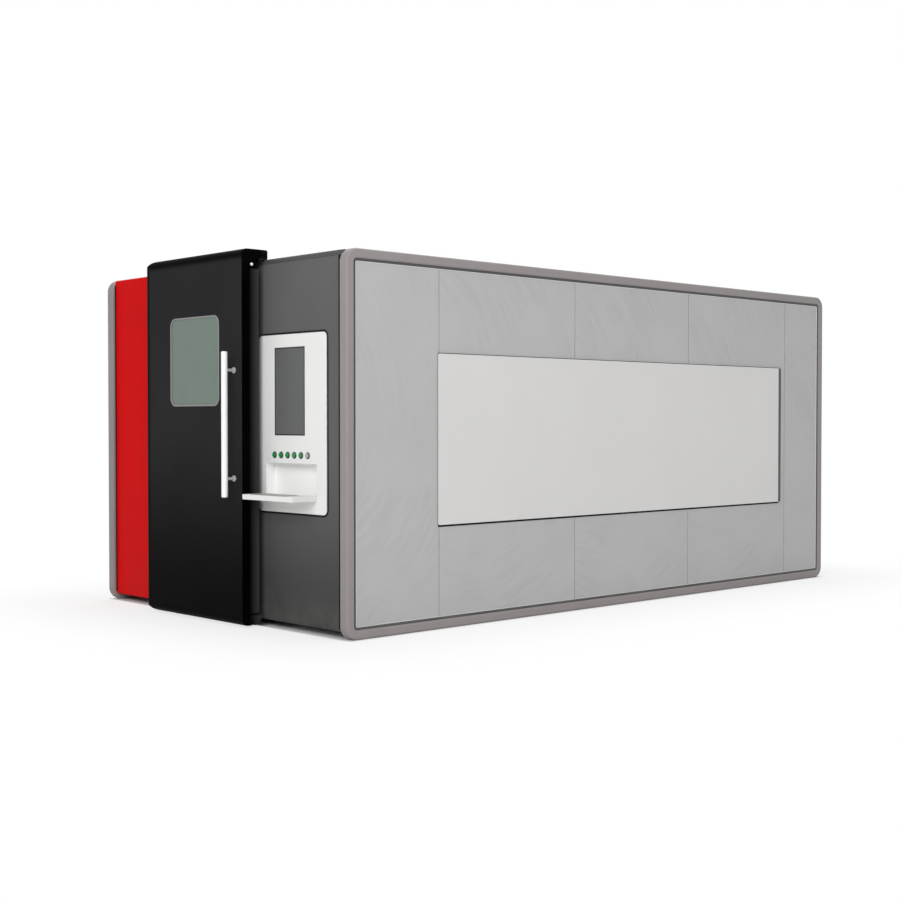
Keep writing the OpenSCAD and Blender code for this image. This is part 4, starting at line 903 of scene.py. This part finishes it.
def end_bracket():
    """Black bracket between leaf and hood at the door's near end, and its bolt, whose bright white paint also
    stands in for a glint.
    """
    near = LEAF[0].y + 0.0015
    corner = (HOOD[0].x, HOOD[0].z)
    outline = [(-0.004, -0.0005), (0.048, -0.0005), (0.048, -0.030), (0.044, -0.040), (0.026, -0.060),
               (0.020, -0.064), (-0.004, -0.064)]
    plate = strip(outline, near, near + 0.005, lambda y, out, drop: (corner[0] + out, y, corner[1] + drop))
    piece("end_bracket", closed_mesh(plate), "door", "door_black")
    # The bolt's white paint is partly a painted glint
    stand = on_side(corner[0] + 0.018, near, corner[1] - 0.040, -1)
    dome = [(0.0, 0.0), (0.0095, 0.0), (0.0095, 0.0035), (0.008, 0.0060), (0.005, 0.0074), (0.0, 0.0080)]
    piece("bracket_bolt", closed_mesh(lathe(dome, stand, 24)), "door", "handle_metal")


# Rear end

def duct_flange():
    """Loose flange and rolled bead on the fume duct's spigot; returns the places of the flange's screws."""
    low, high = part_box("fume_duct")
    middle = (low.z + high.z) / 2
    radius, wall, end = DUCT_RADIUS, REAR[1].x, high.x
    stand = on_rear(0.0, 0.0, middle)
    collar = [(radius, wall + 0.0005), (radius + 0.034, wall + 0.0005), (radius + 0.034, wall + 0.004),
              (radius + 0.032, wall + 0.0055), (radius + 0.005, wall + 0.0055), (radius + 0.003, wall + 0.009),
              (radius + 0.0005, wall + 0.018), (radius, wall + 0.018)]
    rolled = [(radius, end - 0.022), (radius + 0.0025, end - 0.020), (radius + 0.0035, end - 0.016),
              (radius + 0.0025, end - 0.012), (radius, end - 0.010)]
    piece("duct_flange", closed_mesh(lathe(collar, stand, 72), lathe(rolled, stand, 72)),
          "enclosure", "duct_zinc")
    ring = radius + 0.020
    turns = [math.radians(22.5 + 45 * k) for k in range(8)]
    return [(wall + 0.0055, ring * math.cos(a), middle + ring * math.sin(a)) for a in turns]


def cabinet_lock():
    """Swing-lever lock and hinge knuckles on the control cabinet's door."""
    low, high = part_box("control_cabinet")
    stand = on_side(high.x - 0.042, high.y, 1.05, 1)
    rim = [(-0.013, 0.0), (0.0, 0.0), (0.0, 0.004), (-0.002, 0.006), (-0.013, 0.006)]
    plate = swept_ring(0.026, 0.128, 0.012, rim, stand)
    grip = [(-0.007, 0.006), (0.007, 0.006), (0.0065, 0.012), (0.004, 0.0145), (-0.004, 0.0145),
            (-0.0065, 0.012)]
    lever = strip(grip, -0.058, 0.030, lambda v, u, forward: stand(u, v, forward))
    boss = lathe([(0.0, 0.006), (0.0105, 0.006), (0.0105, 0.016), (0.009, 0.018), (0.0, 0.018)],
                 lambda u, v, forward: stand(u, v + 0.044, forward), 28)
    knuckles = [lathe([(0.0, z - 0.035), (0.0065, z - 0.035), (0.0075, z - 0.033), (0.0075, z + 0.033),
                       (0.0065, z + 0.035), (0.0, z + 0.035)],
                      lambda u, v, along: (low.x + 0.004 + u, high.y + 0.003 + v, along), 20)
                for z in (0.32, 1.0, 1.62)]
    piece("cabinet_lock", closed_mesh(plate, lever, boss, *knuckles), "enclosure", "motor_black")


def all_screws(flange_places):
    """Screw heads of the enclosure and bolts of gantry, carriage and head, one piece for each body."""
    roof = ROOF[0].z + 0.020
    rear = REAR[1].x
    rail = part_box("door_rail")
    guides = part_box("lift_guides")
    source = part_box("laser_source")
    source_face = source[1].y - 0.600
    enclosure = [
        (UP, [(x, y, roof) for x in steps(-2.22, 2.36, 0.25) for y in (-1.212, 1.212)]),
        (UP, [(x, y, rail[0].z + 0.004) for y in steps(rail[0].y + 0.04, rail[1].y - 0.04, 0.24)
              for x in (rail[0].x + 0.0075, rail[1].x - 0.0075)]),
        (BACK, [(rear, y, z) for y in (-1.205, 1.205) for z in steps(0.12, 2.11, 0.22)]),
        (BACK, [(rear, y, z) for y in (-0.925, 0.925) for z in (0.12, 0.34, 0.56, 1.72, 1.92, 2.11)]),
        (BACK, [(rear, y, z) for y in steps(-0.80, 0.80, 0.2) for z in (0.085, 2.135)]),
        (BACK, [(guides[1].x, side * 0.8735, z) for side in (-1, 1) for z in steps(0.70, 1.57, 0.145)]),
        (RIGHT, [(x, source_face, z) for x in (source[0].x + 0.022, source[1].x - 0.022)
                 for z in steps(0.085, 1.215, 0.28)]),
        (BACK, flange_places),
    ]
    screws("enclosure_screws", "enclosure", enclosure)
    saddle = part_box("gantry_saddles")
    along = (saddle[0].x + 0.020, saddle[1].x - 0.070, saddle[1].x - 0.020)
    screws("saddle_bolts", "gantry", [
        (UP, [(x, side * y, saddle[1].z) for x in along for y in (0.910, 0.951) for side in (-1, 1)]),
    ], "gear_steel")
    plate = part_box("head_carriage")
    screws("carriage_bolts", "carriage", [
        (FRONT, [(plate[0].x, side * y, z) for y in (0.092, 0.128) for side in (-1, 1)
                 for z in (0.8606, 0.8906, 1.0014, 1.0314)]),
    ], "gear_steel")
    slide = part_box("z_slide")
    screws("slide_bolts", "head", [
        (FRONT, [(slide[0].x, side * 0.055, z) for side in (-1, 1) for z in (0.890, 0.960, 1.040, 1.110)]),
    ], "gear_steel")


side_trim()
wall_gaskets()
wall_top_shade_cap()
console_trim()
keyboard()
window_trim()
door_seals()
end_bracket()
cabinet_lock()
all_screws(duct_flange())


# Studio

# Name, place, aim, size and power of each softbox
SOFTBOXES = [
    ("front_softbox", (-9.0, -3.5, 5.0), (-2.3, -0.3, 1.2), (5.0, 4.0), 240),
    ("corner_softbox", (-8.0, -7.5, 4.5), (-1.5, -1.0, 1.1), (5.0, 4.0), 200),
    ("side_softbox", (1.0, -9.5, 4.5), (0.6, -1.3, 1.0), (7.0, 4.0), 150),
    ("top_softbox", (0.5, 0.5, 8.0), (0.0, 0.0, 0.0), (7.0, 5.0), 330),
    ("back_softbox", (9.0, 7.5, 4.5), (1.2, 0.5, 1.1), (6.0, 4.0), 260),
]


def seen_directly(tree):
    """One for what the camera sees, straight, mirrored or through glass."""
    path = place(tree, "ShaderNodeLightPath").outputs
    bent = calc(tree, "MAXIMUM", path["Is Glossy Ray"], path["Is Transmission Ray"])
    return calc(tree, "MAXIMUM", path["Is Camera Ray"], bent)


def studio_floor():
    """White floor that keeps a soft shadow round the machine's outline."""
    bpy.ops.mesh.primitive_plane_add(size=120.0, location=(0, 0, 0))
    floor = bpy.context.object
    floor.name = "studio_floor"
    made, tree, skin = new_finish("pale_floor")
    skin.inputs["Base Color"].default_value = (0.9, 0.9, 0.9, 1)
    skin.inputs["Roughness"].default_value = 0.9
    skin.inputs["Specular IOR Level"].default_value = 0.1
    middle = (WALL[0].x + REAR[1].x) / 2
    half = ((REAR[1].x - WALL[0].x) / 2, cad_box[1][1], 10.0)
    flat = vector_calc(tree, "ABSOLUTE", vector_calc(tree, "SUBTRACT", own_coords(tree), (middle, 0, 0)))
    over = vector_calc(tree, "MAXIMUM", vector_calc(tree, "SUBTRACT", flat, half))
    away = place(tree, "ShaderNodeVectorMath", {0: over}, operation="LENGTH").outputs["Value"]
    outside = remap(tree, away, 0.0, 0.03)
    lit = calc(tree, "MULTIPLY", remap(tree, away, 0.0, 1.4, 0.72, 1.0, "SMOOTHSTEP"), outside)
    glow = place(tree, "ShaderNodeEmission", {"Color": (1, 1, 1, 1), "Strength": 1.0}).outputs[0]
    factor = calc(tree, "MULTIPLY", lit, seen_directly(tree))
    both = place(tree, "ShaderNodeMixShader", {0: factor, 1: skin.outputs[0], 2: glow}).outputs[0]
    tree.links.new(both, tree.nodes["Material Output"].inputs["Surface"])
    floor.data.materials.append(made)


def softbox(name, at, aim, size, power):
    data = bpy.data.lights.new(name, "AREA")
    data.shape = "RECTANGLE"
    data.size, data.size_y = size
    data.energy = power
    thing = bpy.data.objects.new(name, data)
    thing.location = at
    thing.rotation_euler = (Vector(aim) - Vector(at)).to_track_quat("-Z", "Y").to_euler()
    bpy.context.scene.collection.objects.link(thing)


def studio():
    world = bpy.data.worlds.new("studio")
    bpy.context.scene.world = world
    world.use_nodes = True
    sky = world.node_tree.nodes["Background"]
    strength = remap(world.node_tree, seen_directly(world.node_tree), 0.0, 1.0, 0.4, 1.0)
    world.node_tree.links.new(strength, sky.inputs["Strength"])
    sky.inputs["Color"].default_value = (1, 1, 1, 1)
    studio_floor()
    for box in SOFTBOXES:
        softbox(*box)

    data = bpy.data.cameras.new("photo_view")
    data.sensor_fit = "HORIZONTAL"
    data.sensor_width = SENSOR_MM
    data.lens = LENS_MM
    data.clip_end = 200.0
    view = bpy.data.objects.new("photo_view", data)
    view.location = CAMERA_AT
    view.rotation_euler = (math.radians(90 - CAMERA_DROP), 0.0, math.radians(CAMERA_AZIMUTH))
    bpy.context.scene.collection.objects.link(view)
    bpy.context.scene.camera = view
    bpy.context.scene.view_settings.view_transform = "Standard"


studio()
